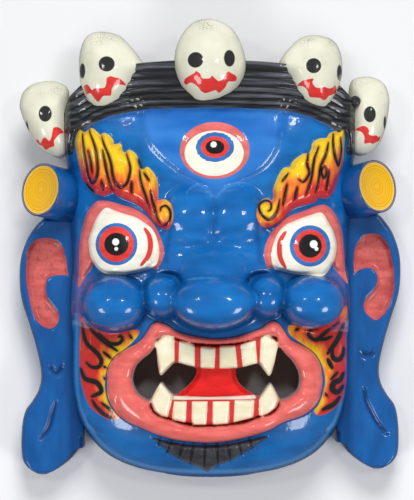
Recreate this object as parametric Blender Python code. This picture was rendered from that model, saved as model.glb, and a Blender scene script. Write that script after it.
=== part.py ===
"""A carved wooden Bhairab mask: one block with a hollow back, lying on its back rim, face up.

+X is the viewer's right, +Y the top of the head and +Z the way the face looks. The carving is
set out on a grid of 400 units to the mask's height. Walls and turned parts have real sizes.
"""
import math

import bmesh
import bpy
import numpy as np
from mathutils import Euler, Matrix, Vector

# Driving dimensions, in metres.
MASK_HEIGHT = 0.400
RIM_WALL = 0.013
FACE_WALL = 0.026
EAR_THICKNESS = 0.034
PLUG_DIAMETER = 0.047
PLUG_LENGTH = 0.050
KNOB_DIAMETER = 0.010
BAND_RELIEF = 0.007
BROW_RELIEF = 0.010
LIP_RELIEF = 0.013
MOUTH_DEPTH = 0.013
TOOTH_RELIEF = 0.016
TOOTH_GROOVE = 0.004
TONGUE_RELIEF = 0.008
FOREHEAD_RELIEF = 0.005
THIRD_EYE_RELIEF = 0.003
LID_RELIEF = 0.006
EYEBALL_RELIEF = 0.014
GOATEE_RELIEF = 0.007
EAR_HOLLOW_DEPTH = 0.007
CREASE_DEPTH = 0.003

# The carving grid: one unit is a four-hundredth of the height.
UNIT = MASK_HEIGHT / 400

# How finely the block is carved, how many triangles the solid keeps, and in units how much
# wood is spare behind the rim, the lowest roof of the hollow and the depth of the mouth's cuts.
CARVING_STEP = 2.6
HOLLOW_STEP = 14.0
TOOL_MARK = 2.3
SOLID_TRIANGLES = 7900
SPARE_BACK = 8.0
LOWEST_ROOF = 12.0
CUT_FROM = 20.0
CUT_TO = 130.0

# How wide the slope at the edge of a carved form is, in units: crisp, and well rounded over.
# A rounded form falls away past its own outline at the steep slope.
CRISP_EDGE = 3.0
SOFT_EDGE = 6.0
STEEP_SLOPE = 60.0

# Right half of the block's outline, from the crown to the chin, in units.
BLOCK_EDGE = [(0, 164), (40, 163), (70, 160), (95, 153), (115, 141), (127, 124), (128, 88),
              (124, 44), (122, -10), (122, -75), (122, -115), (119, -138), (113, -155),
              (102, -171), (88, -183), (68, -192), (40, -198), (0, -200)]
BLOCK_CENTRE = (0, -18)
BLOCK_WIDTH = 256
BLOCK_LENGTH = 364
CHIN_HALF_WIDTH = 30
CROWN_CORNER = 124

# Front of the head down the middle: how high it stands at each place from chin to crown.
HEAD_PROFILE = [(-200, 46), (-191, 62), (-176, 75), (-150, 84), (-100, 89), (-40, 88),
                (10, 84), (60, 83), (100, 86), (164, 84)]
HEAD_EDGE_HEIGHT = 30
CROWN_EDGE_HEIGHT = 50
CROWN_FROM = 65
HEAD_SQUARENESS = 3.0

# Lower edge of the crown band, left to right, and the ribs that spread over its height. They
# get wider towards the top, and the grooves between them are cut to a share of its relief.
BAND_EDGE = [(-120, 70), (-120, 92), (-108, 107), (-85, 117), (-43, 122), (0, 123),
             (52, 121), (85, 116), (104, 109), (117, 98), (120, 70)]
BAND_RIBS = 4
BAND_HEIGHT = 40
RIB_SPREAD = 0.8
RIB_GROOVE_SHARE = 0.4

FOREHEAD = [(-60, 105), (-54, 91), (-45, 79), (-33, 69), (-17, 60), (-8, 56), (-3, 52), (3, 44),
            (8, 48), (15, 54), (30, 60), (47, 69), (59, 85), (63, 98), (60, 135), (-60, 135)]
THIRD_EYE = ((4, 86), (30, 25))

LEFT_EYE = [(-108, -22), (-112, 0), (-112, 20), (-105, 36), (-96, 42), (-82, 40), (-63, 33),
            (-50, 20), (-42, 6), (-42, -10), (-50, -16), (-78, -21), (-95, -20)]
RIGHT_EYE = [(113, -22), (115, 5), (110, 26), (102, 38), (94, 38), (70, 29), (54, 17), (47, 0),
             (48, -14), (58, -17), (87, -22), (100, -23)]
LEFT_EYEBALL = (-77, 6)
RIGHT_EYEBALL = (83, 4)
EYEBALL_REACH = 34
LID_WIDTH = 8

LEFT_BROW = [(-119, 100), (-113, 105), (-101, 106), (-86, 100), (-72, 88), (-62, 76), (-53, 70),
             (-46, 56), (-44, 43), (-34, 39), (-33, 25), (-42, 19), (-57, 35), (-74, 44),
             (-89, 49), (-99, 50), (-112, 62), (-116, 80)]
RIGHT_BROW = [(119, 101), (104, 101), (90, 92), (80, 83), (66, 73), (58, 63), (54, 46),
              (42, 41), (41, 26), (50, 20), (66, 31), (78, 38), (96, 44), (108, 48), (115, 65),
              (119, 82)]
BROW_CUTS = [[(-108, 108), (-105, 85), (-102, 62)], [(-92, 106), (-84, 80), (-78, 58)],
             [(-76, 94), (-68, 70), (-68, 52)], [(-62, 80), (-54, 58), (-50, 38)],
             [(108, 106), (106, 82), (110, 62)], [(96, 100), (93, 72), (90, 52)],
             [(82, 90), (80, 66), (76, 48)], [(66, 78), (64, 54), (60, 38)]]
BROW_CUT_SHARE = 0.6
CREASE_WIDTH = 2.4
FROWN_CREASES = [[(4, 46), (4, 14)], [(-33, 17), (39, 17)], [(-30, 8), (36, 8)]]

# Rounded forms that stand out of the face: middle, half sizes and the fillet around each. First
# the pads over the nose and its bridge, then the cheeks, the wings of the nose and the nose.
FROWN_FORMS = [((-15, 32, 74), (27, 32, 26), 9), ((23, 32, 74), (27, 32, 26), 9),
               ((3, -8, 66), (60, 36, 34), 12)]
NOSE_AND_CHEEKS = [((-84, -47, 80), (27, 24, 33), 5), ((87, -45, 80), (28, 23, 33), 5),
                   ((-41, -39, 84), (18, 18, 27), 4), ((49, -39, 84), (17, 17, 27), 4),
                   ((3, -45, 91), (38, 26, 41), 4)]

LIP_OUTSIDE = [(-52, -66), (-38, -66), (-20, -75), (4, -79), (28, -75), (45, -66), (58, -63),
               (68, -76), (86, -87), (98, -108), (95, -130), (78, -144), (55, -155), (26, -164),
               (-4, -167), (-43, -161), (-74, -147), (-88, -127), (-88, -108), (-74, -91),
               (-58, -79)]
FULL_LIP = 15
LIP_INSIDE = [(-47, -80), (-38, -73), (-20, -79), (4, -84), (28, -81), (46, -74), (58, -77),
              (66, -90), (78, -105), (77, -121), (62, -130), (56, -140), (38, -146), (4, -152),
              (-30, -148), (-50, -140), (-58, -129), (-66, -118), (-66, -102), (-56, -89)]

# Square teeth: middle across, half width, root and edge. Fangs: root, half width and tip. A
# fang bellies out below its root, and a share of its relief is the ridge down its middle.
UPPER_TEETH = [(-20, 8.5, -76, -100), (-2, 8, -80, -103), (15, 8, -80, -103), (33, 8, -76, -100)]
LOWER_TEETH = [(-28, 8, -154, -131), (-9, 8, -157, -132), (9, 8, -157, -132),
               (30, 10, -153, -131)]
FANGS = [((-39, -74), 9, (-43, -109)), ((52, -74), 9, (51.5, -109)),
         ((-43, -146), 9, (-42, -115)), ((50, -144), 9, (52.5, -116))]
FANG_BELLY = 0.6
FANG_RIDGE_SHARE = 0.25
TOOTH_ROOT_OVERLAP = 4
TONGUE = [(-9, -80), (23, -80), (23, -103), (34, -124), (42, -140), (-36, -140), (-29, -124),
          (-10, -103)]

# The two gaps cut right through the mouth. Each narrows between the tips of two fangs.
MOUTH_HOLES = [
    [(-47.5, -84), (-58, -94), (-65, -103), (-67, -113), (-64, -122), (-57, -129),
     (-52, -130.5), (-47.5, -122.5), (-42.3, -115), (-38, -119), (-30, -126), (-22, -120.5),
     (-15, -112), (-12, -103), (-29, -97.5), (-36.5, -103.5), (-42.8, -108.6), (-45.5, -98)],
    [(59, -84.5), (69, -94), (76, -104), (78, -114), (75, -123), (67, -129), (61, -130.5),
     (57, -122.5), (52.3, -115.6), (47.5, -120), (40.5, -127), (32, -122), (24.5, -113),
     (22.5, -103), (40.5, -98.5), (46, -104), (51.6, -108.8), (55, -98)]]

GOATEE = [(-54, -160), (-26, -168), (-3, -169), (19, -168), (48, -161), (38, -173), (12, -187),
          (-3, -195), (-19, -188), (-36, -178)]
GOATEE_ROOT = (-3, -110)
GOATEE_LOCKS = 13
LOCK_GROOVE_SHARE = 0.35

# Left ear from top to bottom: its outer edge and its inner edge. The right ear is its mirror.
EAR_OUTER = [(30, -147), (22, -155), (10, -163), (-8, -169), (-28, -170), (-45, -168),
             (-64, -162), (-84, -156), (-107, -151), (-122, -152), (-134, -158), (-144, -165),
             (-160, -168), (-182, -168), (-192, -164), (-198, -156), (-200, -149)]
EAR_INNER = [(30, -112), (-168, -112), (-176, -116), (-186, -124), (-194, -134), (-199, -144),
             (-200, -147)]
EAR_HOLLOW = [(-162, 4), (-147, 12), (-136, 10), (-128, 0), (-127, -20), (-140, -24),
              (-144, -38), (-137, -49), (-135, -62), (-142, -69), (-152, -65), (-160, -46),
              (-164, -18)]
EAR_CREASE = [(-136, -135), (-139, -146), (-143, -157), (-151, -166)]
EAR_WIDTH = 50
EAR_TOP = 30
EAR_BOTTOM = -200
LOBE_FROM = -165
EAR_EDGE_SHARE = 0.55
RIGHT_EAR_RISE = 5

PLUG_CENTRES = [((-149, 53, 56), -1), ((147, 56, 56), 1)]
PLUG_TURN = math.radians(42)
PLUG_LIFT = math.radians(13)
KNOB_PLACE = (127, 130, 62)

# Skulls: outline seen from the front, height of the middle and half the depth.
SKULLS = [
    ([(-145, 149), (-134, 148), (-125, 141), (-124, 121), (-124, 105), (-124, 88), (-132, 81),
      (-141, 84), (-149, 89), (-155, 97), (-161, 107), (-166, 119), (-168, 128), (-165, 139),
      (-157, 146)], 42, 24),
    ([(-97, 190), (-80, 187), (-69, 177), (-61, 167), (-57, 160), (-63, 147), (-70, 135),
      (-80, 125), (-93, 121), (-104, 126), (-110, 136), (-113, 147), (-114, 162), (-113, 173),
      (-108, 185)], 72, 27),
    ([(-1, 200), (-17, 195), (-28, 179), (-31, 162), (-28, 148), (-21, 136), (-9, 127),
      (9, 130), (21, 137), (29, 149), (31, 162), (27, 178), (17, 193)], 86, 28),
    ([(92, 187), (106, 183), (113, 173), (115, 159), (113, 145), (107, 131), (99, 122),
      (86, 123), (75, 133), (67, 147), (60, 159), (62, 167), (72, 179), (80, 185)], 72, 27),
    ([(137, 153), (145, 152), (154, 146), (158, 135), (158, 127), (156, 113), (152, 99),
      (147, 91), (141, 86), (132, 83), (123, 88), (122, 105), (122, 123), (122, 136),
      (124, 148), (130, 152)], 42, 24)]

CARVED_PAINT = (0.016, 0.13, 0.52, 1.0)


def clear_scene():
    for old in list(bpy.data.objects):
        bpy.data.objects.remove(old, do_unlink=True)


def smooth_loop(points, steps=6):
    """A closed curve through the points, as short straight runs."""
    given = np.array(points, dtype=float)
    before, after = np.roll(given, 1, axis=0), np.roll(given, -1, axis=0)
    beyond = np.roll(given, -2, axis=0)
    runs = []
    for t in np.arange(steps) / steps:
        runs.append(0.5 * (2 * given + (after - before) * t
                           + (2 * before - 5 * given + 4 * after - beyond) * t ** 2
                           + (3 * given - before - 3 * after + beyond) * t ** 3))
    return np.stack(runs, axis=1).reshape(-1, 2)


def distance_to_line(x, y, points):
    nearest = np.full(x.shape, 1e9)
    for (ax, ay), (bx, by) in zip(points[:-1], points[1:]):
        length = (bx - ax) ** 2 + (by - ay) ** 2 + 1e-12
        along = np.clip(((x - ax) * (bx - ax) + (y - ay) * (by - ay)) / length, 0, 1)
        gap = np.hypot(x - ax - along * (bx - ax), y - ay - along * (by - ay))
        nearest = np.minimum(nearest, gap)
    return nearest


def inside_by(x, y, loop):
    """How far each point lies inside a closed loop. It is negative outside."""
    closed = np.vstack([loop, loop[:1]])
    inside = np.zeros(x.shape, dtype=bool)
    for (ax, ay), (bx, by) in zip(closed[:-1], closed[1:]):
        if ay != by:
            crosses = (ay > y) != (by > y)
            inside ^= crosses & (x < (bx - ax) * (y - ay) / (by - ay) + ax)
    return np.where(inside, 1, -1) * distance_to_line(x, y, closed)


def step_up(value):
    t = np.clip(value, 0, 1)
    return t * t * (3 - 2 * t)


def melt(a, b, blend):
    """The higher of two surfaces, with a fillet where they meet."""
    mix = np.clip(0.5 + 0.5 * (a - b) / blend, 0, 1)
    return b + (a - b) * mix + blend * mix * (1 - mix)


def ball(x, y, centre, radii):
    """Height of an ellipsoid's front, falling away fast outside its outline."""
    r = np.hypot((x - centre[0]) / radii[0], (y - centre[1]) / radii[1])
    cap = np.sqrt(np.clip(1 - r * r, 0, 1))
    return centre[2] + radii[2] * cap - STEEP_SLOPE * np.clip(r - 1, 0, None)


def half_width(y):
    """Half the head's width at a height. The crown keeps its full width to the top."""
    edge = np.array(BLOCK_EDGE[::-1], dtype=float)
    wide = np.maximum(edge[:, 0], CHIN_HALF_WIDTH)
    wide[edge[:, 1] > CROWN_CORNER] = edge[:, 0].max()
    return np.interp(y, edge[:, 1], wide)


def head(x, y):
    """The plain head before carving: a shield that curves back to its sides and chin."""
    front = np.interp(y, *np.array(HEAD_PROFILE, dtype=float).T)
    across = np.clip(np.abs(x) / half_width(y), 0, 1)
    curve = np.sqrt(1 - across ** HEAD_SQUARENESS)
    crown = step_up((y - CROWN_FROM) / BAND_HEIGHT)
    edge = HEAD_EDGE_HEIGHT + (CROWN_EDGE_HEIGHT - HEAD_EDGE_HEIGHT) * crown
    return edge + (front - edge) * curve


def carve_band(x, y, z):
    lower = np.interp(x, *np.array(BAND_EDGE, dtype=float).T)
    above = y - lower
    share = np.clip(above / BAND_HEIGHT, 0, 1)
    rib = np.sqrt(np.abs(np.sin(share ** RIB_SPREAD * BAND_RIBS * math.pi)))
    relief = BAND_RELIEF / UNIT * (1 - RIB_GROOVE_SHARE + RIB_GROOVE_SHARE * rib)
    return z + relief * step_up(above / CRISP_EDGE)


def carve_forehead(x, y, z):
    inside = inside_by(x, y, smooth_loop(FOREHEAD))
    z = z + FOREHEAD_RELIEF / UNIT * step_up(inside / SOFT_EDGE)
    (cx, cy), (rx, ry) = THIRD_EYE
    r = np.hypot((x - cx) / rx, (y - cy) / ry)
    return z + THIRD_EYE_RELIEF / UNIT * np.sqrt(np.clip(1 - r ** 2, 0, 1))


def carve_eye(x, y, z, outline, eyeball):
    inside = inside_by(x, y, smooth_loop(outline))
    across = 2 * inside / LID_WIDTH - 1
    lid = LID_RELIEF / UNIT * np.sqrt(np.clip(1 - across ** 2, 0, 1))
    away = np.hypot(x - eyeball[0], y - eyeball[1])
    dome = np.sqrt(np.clip(1 - (away / EYEBALL_REACH) ** 2, 0, 1))
    globe = EYEBALL_RELIEF / UNIT * dome
    return z + np.maximum(lid, globe * step_up(across))


def carve_brow(x, y, z, outline):
    inside = inside_by(x, y, smooth_loop(outline))
    raised = BROW_RELIEF / UNIT * np.sqrt(step_up(inside / SOFT_EDGE))
    for cut_line in BROW_CUTS:
        near = distance_to_line(x, y, cut_line) / CREASE_WIDTH
        raised = raised * (1 - BROW_CUT_SHARE * np.exp(-near ** 2))
    return z + raised


def carve_nose_and_cheeks(x, y, z):
    for centre, radii, fillet in FROWN_FORMS:
        z = melt(z, ball(x, y, centre, radii), fillet)
    for crease in FROWN_CREASES:
        near = distance_to_line(x, y, crease) / CREASE_WIDTH
        z = z - CREASE_DEPTH / UNIT * np.exp(-near ** 2)
    for centre, radii, fillet in NOSE_AND_CHEEKS:
        z = melt(z, ball(x, y, centre, radii), fillet)
    return z


def tooth_row(x, y, row):
    """Square teeth on one ledge, with grooves between them."""
    left, right = row[0][0] - row[0][1], row[-1][0] + row[-1][1]
    raised = np.zeros(x.shape)
    for across, half, root, edge in row:
        low, high = sorted((root, edge))
        within = np.minimum(y - low, high - y)
        ledge = np.minimum(np.minimum(x - left, right - x), within)
        ledge = np.where(np.abs(x - across) < half + CRISP_EDGE, ledge, -1)
        ledge = (TOOTH_RELIEF - TOOTH_GROOVE) / UNIT * np.sqrt(step_up(ledge / CRISP_EDGE))
        tooth = np.minimum(half - np.abs(x - across), within)
        tooth = TOOTH_RELIEF / UNIT * np.sqrt(step_up(tooth / CRISP_EDGE))
        raised = np.maximum(raised, np.maximum(ledge, tooth))
    return raised


def fang_height(x, y, root, half, tip):
    """A tooth that narrows to a point, with a ridge down its middle."""
    along = np.clip((y - root[1]) / (tip[1] - root[1]), 0, 1)
    wide = half * np.sqrt(1 - along) * (1 + FANG_BELLY * along)
    near = wide - np.abs(x - root[0] - (tip[0] - root[0]) * along)
    near = np.where((y - root[1]) * (tip[1] - root[1]) < 0, -1, near)
    flat = (1 - FANG_RIDGE_SHARE) * np.sqrt(step_up(near / CRISP_EDGE))
    return TOOTH_RELIEF / UNIT * (flat + FANG_RIDGE_SHARE * step_up(near / half))


def carve_mouth(x, y, z):
    from_outside = inside_by(x, y, smooth_loop(LIP_OUTSIDE))
    from_inside = inside_by(x, y, smooth_loop(LIP_INSIDE))
    floor = head(x, y) - MOUTH_DEPTH / UNIT
    width = np.maximum(from_outside - from_inside, 1e-6)
    roll = (from_outside + from_inside) / width
    fullness = np.clip(width / FULL_LIP, 0, 1)
    lip = head(x, y) + LIP_RELIEF / UNIT * fullness * np.sqrt(np.clip(1 - roll ** 2, 0, 1))
    on_lip = (from_outside > 0) & (from_inside < 0)
    z = np.where(on_lip, np.maximum(lip, np.where(roll < 0, z, floor)), z)
    z = np.where(from_inside >= 0, floor, z)
    tongue = inside_by(x, y, smooth_loop(TONGUE))
    mouth = z + TONGUE_RELIEF / UNIT * np.sqrt(step_up(tongue / SOFT_EDGE))
    for row in (UPPER_TEETH, LOWER_TEETH):
        mouth = np.maximum(mouth, floor + tooth_row(x, y, row))
    for fang in FANGS:
        mouth = np.maximum(mouth, floor + fang_height(x, y, *fang))
    return np.where(from_inside > -TOOTH_ROOT_OVERLAP, np.maximum(mouth, z), z)


def carve_goatee(x, y, z):
    inside = inside_by(x, y, smooth_loop(GOATEE))
    fan = np.arctan2(x - GOATEE_ROOT[0], y - GOATEE_ROOT[1]) * GOATEE_LOCKS
    locks = 1 - LOCK_GROOVE_SHARE + LOCK_GROOVE_SHARE * np.abs(np.sin(fan))
    return z + GOATEE_RELIEF / UNIT * np.sqrt(step_up(inside / SOFT_EDGE)) * locks


def face(x, y):
    """Height of the finished front of the block."""
    z = head(x, y)
    z = carve_band(x, y, z)
    z = carve_forehead(x, y, z)
    z = carve_eye(x, y, z, LEFT_EYE, LEFT_EYEBALL)
    z = carve_eye(x, y, z, RIGHT_EYE, RIGHT_EYEBALL)
    z = carve_brow(x, y, z, LEFT_BROW)
    z = carve_brow(x, y, z, RIGHT_BROW)
    z = carve_nose_and_cheeks(x, y, z)
    z = carve_goatee(x, y, z)
    return carve_mouth(x, y, z)


def reach_of(outline, centre, angle):
    """How far a closed outline lies from a point inside it, in each direction."""
    loop = smooth_loop(outline) - centre
    angles = np.arctan2(loop[:, 1], loop[:, 0])
    order = np.argsort(angles)
    reach = np.hypot(loop[:, 0], loop[:, 1])
    return np.interp(angle, angles[order], reach[order], period=2 * math.pi)


def block_radius(angle, inset):
    right = np.array(BLOCK_EDGE, dtype=float)
    left = right[-2:0:-1] * (-1, 1)
    return reach_of(np.vstack([right, left]), BLOCK_CENTRE, angle) - inset


def close_below(bm, depth):
    """Draws a sheet's edge straight down to a depth and closes the underside."""
    rim = [edge for edge in bm.edges if edge.is_boundary]
    drawn = bmesh.ops.extrude_edge_only(bm, edges=rim)["geom"]
    for vert in drawn:
        if isinstance(vert, bmesh.types.BMVert):
            vert.co.z = depth
    bmesh.ops.contextual_create(bm, geom=[e for e in bm.edges if e.is_boundary])
    bmesh.ops.recalc_face_normals(bm, faces=bm.faces)


def place_sheet(bm, x, y, z):
    for vert, place in zip(bm.verts, zip(x, y, z)):
        vert.co = Vector(place) * UNIT


def shield_sheet(step, inset, height_at, depth):
    """A square sheet pulled out to the block's outline, raised to a height and closed below."""
    bm = bmesh.new()
    bmesh.ops.create_grid(bm, x_segments=round(BLOCK_WIDTH / step),
                          y_segments=round(BLOCK_LENGTH / step), size=1)
    bm.verts.ensure_lookup_table()
    u, v = np.array([vert.co[:2] for vert in bm.verts]).T
    disc_x, disc_y = u * np.sqrt(1 - v * v / 2), v * np.sqrt(1 - u * u / 2)
    reach = np.hypot(disc_x, disc_y)
    angle = np.arctan2(disc_y, disc_x)
    out = reach * block_radius(angle, inset)
    x, y = BLOCK_CENTRE[0] + out * np.cos(angle), BLOCK_CENTRE[1] + out * np.sin(angle)
    place_sheet(bm, x, y, height_at(x, y))
    close_below(bm, depth * UNIT)
    return bm


def ear(side):
    """A long-lobed ear: a slab with a rolled edge around a sunk hollow."""
    bm = bmesh.new()
    bmesh.ops.create_grid(bm, x_segments=round(EAR_WIDTH / CARVING_STEP),
                          y_segments=round((EAR_TOP - EAR_BOTTOM) / CARVING_STEP), size=1)
    u, v = np.array([vert.co[:2] for vert in bm.verts]).T
    y = EAR_BOTTOM + (EAR_TOP - EAR_BOTTOM) * (1 + np.sin(v * math.pi / 2)) / 2
    outer = np.interp(y, *np.array(EAR_OUTER[::-1], dtype=float).T)
    inner = np.interp(y, *np.array(EAR_INNER[::-1], dtype=float).T)
    share = (u + 1) / 2
    x = outer + (inner - outer) * share
    edge = np.minimum(x - outer, np.minimum(EAR_TOP - y, y - EAR_BOTTOM))
    edge = np.where(y < LOBE_FROM, np.minimum(edge, inner - x), edge)
    rounded = EAR_EDGE_SHARE + (1 - EAR_EDGE_SHARE) * np.sqrt(step_up(edge / SOFT_EDGE))
    z = EAR_THICKNESS / UNIT * rounded
    hollow = inside_by(x, y, smooth_loop(EAR_HOLLOW))
    z = z - EAR_HOLLOW_DEPTH / UNIT * step_up(hollow / CRISP_EDGE)
    near = distance_to_line(x, y, EAR_CREASE) / CREASE_WIDTH
    z = z - CREASE_DEPTH / UNIT * np.exp(-near ** 2)
    rise = RIGHT_EAR_RISE if side > 0 else 0
    place_sheet(bm, -side * x, y + rise, z)
    close_below(bm, -SPARE_BACK * UNIT)
    return bm


def plug(centre, side):
    """A short cylinder through the top of the ear, its end turned outwards and a little up."""
    bm = bmesh.new()
    bmesh.ops.create_cone(bm, cap_ends=True, segments=40, radius1=PLUG_DIAMETER / 2,
                          radius2=PLUG_DIAMETER / 2, depth=PLUG_LENGTH,
                          matrix=Matrix.Translation((0, 0, -PLUG_LENGTH / 2)))
    turn = Euler((0, side * PLUG_TURN, side * PLUG_LIFT)).to_matrix().to_4x4()
    bmesh.ops.transform(bm, matrix=Matrix.Translation(Vector(centre) * UNIT) @ turn,
                        verts=bm.verts)
    return bm


def knob():
    bm = bmesh.new()
    bmesh.ops.create_uvsphere(bm, u_segments=16, v_segments=10, radius=KNOB_DIAMETER / 2,
                              matrix=Matrix.Translation(Vector(KNOB_PLACE) * UNIT))
    return bm


def skull(outline, middle, depth):
    """An egg that fills an outline seen from the front. Its face is painted on."""
    bm = bmesh.new()
    bmesh.ops.create_uvsphere(bm, u_segments=40, v_segments=28, radius=1)
    x, y, z = np.array([vert.co[:] for vert in bm.verts]).T
    cx, cy = np.mean(outline, axis=0)
    angle = np.arctan2(y, x)
    out = np.hypot(x, y) * reach_of(outline, (cx, cy), angle)
    place_sheet(bm, cx + out * np.cos(angle), cy + out * np.sin(angle), middle + depth * z)
    return bm


def as_object(bm, name):
    mesh = bpy.data.meshes.new(name)
    bm.to_mesh(mesh)
    bm.free()
    made = bpy.data.objects.new(name, mesh)
    bpy.context.collection.objects.link(made)
    return made


def as_cutter(bm, name):
    cutter = as_object(bm, name)
    cutter.hide_render = True
    cutter.display_type = "WIRE"
    return cutter


def gather(shapes):
    """Puts closed shapes together in one mesh, still as bodies that overlap."""
    whole = bmesh.new()
    for shape in shapes:
        mesh = bpy.data.meshes.new("shape")
        shape.to_mesh(mesh)
        shape.free()
        whole.from_mesh(mesh)
        bpy.data.meshes.remove(mesh)
    return whole


def hollow_cutter():
    """The room behind the face, open at the back."""
    def roof(x, y):
        return np.maximum(head(x, y) - FACE_WALL / UNIT, LOWEST_ROOF)
    return shield_sheet(HOLLOW_STEP, RIM_WALL / UNIT, roof, -2 * SPARE_BACK)


def mouth_cutter(outline):
    bm = bmesh.new()
    verts = [bm.verts.new((x * UNIT, y * UNIT, CUT_FROM * UNIT))
             for x, y in smooth_loop(outline, 3)]
    base = bm.faces.new(verts)
    drawn = bmesh.ops.extrude_face_region(bm, geom=[base])["geom"]
    bmesh.ops.translate(bm, vec=(0, 0, (CUT_TO - CUT_FROM) * UNIT),
                        verts=[g for g in drawn if isinstance(g, bmesh.types.BMVert)])
    bmesh.ops.recalc_face_normals(bm, faces=bm.faces)
    return bm


def back_cutter():
    """All that lies behind the plane of the back rim."""
    bm = bmesh.new()
    low = 4 * SPARE_BACK * UNIT
    wide = 2 * MASK_HEIGHT
    box = Matrix.Translation((0, 0, -low / 2)) @ Matrix.Diagonal((wide, wide, low, 1))
    bmesh.ops.create_cube(bm, size=1, matrix=box)
    return bm


def cut(target, cutter):
    step = target.modifiers.new(cutter.name, "BOOLEAN")
    step.operation = "DIFFERENCE"
    step.solver = "EXACT"
    step.object = cutter


def painted_wood():
    paint = bpy.data.materials.new("blue enamel on carved wood")
    paint.use_nodes = True
    shader = paint.node_tree.nodes["Principled BSDF"]
    shader.inputs["Base Color"].default_value = CARVED_PAINT
    shader.inputs["Roughness"].default_value = 0.2
    shader.inputs["Metallic"].default_value = 0.0
    return paint


def evaluated_triangles(thing):
    seen = thing.evaluated_get(bpy.context.evaluated_depsgraph_get()).to_mesh()
    seen.calc_loop_triangles()
    return len(seen.loop_triangles)


def mask():
    shapes = [shield_sheet(CARVING_STEP, 0, face, -SPARE_BACK), ear(-1), ear(1), knob()]
    shapes += [plug(centre, side) for centre, side in PLUG_CENTRES]
    shapes += [skull(*sizes) for sizes in SKULLS]
    solid = as_object(gather(shapes), "mask")
    fuse = solid.modifiers.new("one block", "REMESH")
    fuse.mode = "VOXEL"
    fuse.voxel_size = TOOL_MARK * UNIT
    thin = solid.modifiers.new("fewer faces", "DECIMATE")
    thin.ratio = SOLID_TRIANGLES / evaluated_triangles(solid)
    cut(solid, as_cutter(back_cutter(), "behind_the_rim"))
    cut(solid, as_cutter(hollow_cutter(), "hollow"))
    for number, outline in enumerate(MOUTH_HOLES, 1):
        cut(solid, as_cutter(mouth_cutter(outline), f"mouth_hole_{number}"))
    solid.data.materials.append(painted_wood())
    return solid


clear_scene()
mask()
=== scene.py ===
# %% [markdown]
# # A Bhairab mask
# Bhairab masks are carved from one block of light wood, such as alder, with adze and gouge. The
# face is finished smooth, the back is left hollow and rough, and the whole front is brushed with
# bright gloss enamel. This notebook builds the mask around its engineered solid, lying on its back.

import math

import bmesh
import bpy
import numpy as np
from mathutils import Euler, Matrix, Vector


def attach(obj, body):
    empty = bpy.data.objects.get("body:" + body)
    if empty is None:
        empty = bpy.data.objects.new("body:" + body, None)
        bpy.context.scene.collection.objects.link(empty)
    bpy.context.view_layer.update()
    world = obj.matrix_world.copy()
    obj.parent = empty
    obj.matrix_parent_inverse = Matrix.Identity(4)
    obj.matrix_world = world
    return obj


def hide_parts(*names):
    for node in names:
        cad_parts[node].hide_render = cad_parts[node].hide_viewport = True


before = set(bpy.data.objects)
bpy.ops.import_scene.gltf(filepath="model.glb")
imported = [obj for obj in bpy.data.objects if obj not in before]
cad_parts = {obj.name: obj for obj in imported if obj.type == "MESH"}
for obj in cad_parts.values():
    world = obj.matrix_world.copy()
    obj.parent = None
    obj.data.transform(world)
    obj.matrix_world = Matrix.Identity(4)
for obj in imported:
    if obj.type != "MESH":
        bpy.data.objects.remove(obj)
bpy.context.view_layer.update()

# %% [markdown]
# ## Camera
# The mask lies face up, and the camera looks straight down on it from about two metres, so its
# sides hardly show.

# %% Camera
CAMERA_HEIGHT = 2.2
CAMERA_ASIDE = -0.0027
PICTURE_HEIGHT = 0.45
SENSOR = 36

camera = bpy.data.objects.new("camera", bpy.data.cameras.new("camera"))
camera.location = (CAMERA_ASIDE, 0, CAMERA_HEIGHT)
camera.data.sensor_fit = "AUTO"
camera.data.sensor_width = SENSOR
camera.data.lens = SENSOR * CAMERA_HEIGHT / PICTURE_HEIGHT
bpy.context.scene.collection.objects.link(camera)
bpy.context.scene.camera = camera
bpy.context.scene.view_settings.view_transform = "Standard"
print("lens", camera.data.lens, "mm")

# %% [markdown]
# ## Sizes
# The carving is set out on a grid of one millimetre with its middle at the middle of the mask, x
# to the viewer's right and y towards the crown. Reliefs are what a carver would leave standing.

# %% Sizes
UNIT = 0.001
BLOCK_WIDTH, BLOCK_LENGTH = 256, 364
RIM_WALL = 13
FACE_WALL = 26
BAND_RELIEF = 7
BAND_GROOVE_DEPTH, BAND_GROOVE_WIDTH = 2.0, 1.2
FOREHEAD_RELIEF, FOREHEAD_SLOPE = 3.5, 6
HAIRLINE_RIDGE, HAIRLINE_TOP = 0.9, 112
THIRD_EYE_RELIEF, THIRD_EYE_SLOPE = 3, 24
LID_RELIEF = 6
EYEBALL_RELIEF, EYEBALL_RADIUS = 15, 36
BROW_RELIEF, BROW_CROWN = 10, 1.5
LOCK_DEPTH = 2.2
FROWN_DEPTH, FROWN_WIDTH = 3.2, 2.4
FOLD_DEPTH, FOLD_WIDTH = 1.6, 4.5
NOSTRIL_DEPTH, NOSTRIL_SLOPE = 3.5, 3.5
STEEP = 60
LIP_RELIEF = 13
MOUTH_DEPTH = 13
TOOTH_RELIEF = 16
GUM_BELOW_TEETH = 2
LEDGE_RELIEF = 4
FANG_RIDGE = 1.2
TONGUE_RELIEF = 7
GOATEE_RELIEF = 7
COMB_DEPTH, COMB_WIDTH = 3, 1.3
EAR_THICKNESS = 34
EAR_ROLL = 5
EAR_HOLLOW_DEPTH = 7
EAR_CREASE_DEPTH = 2.5
PLUG_DIAMETER = 47
PLUG_LENGTH = 50
KNOB_DIAMETER = 10
SCALLOP_DEPTH = 0.9
FACE_STEP = 1.75
HOLLOW_STEP = 4.5
LOWEST_ROOF = 12
CUT_FROM, CUT_TO = 20, 130
BELOW_THE_RIM = -10
print("walls of", RIM_WALL, "and", FACE_WALL, "mm")

# %% [markdown]
# ## The block
# The block is a shield, widest at the temples and round at the chin. Its front curves back to the
# sides, and how high it stands down the middle is given from the chin to the crown.

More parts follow.
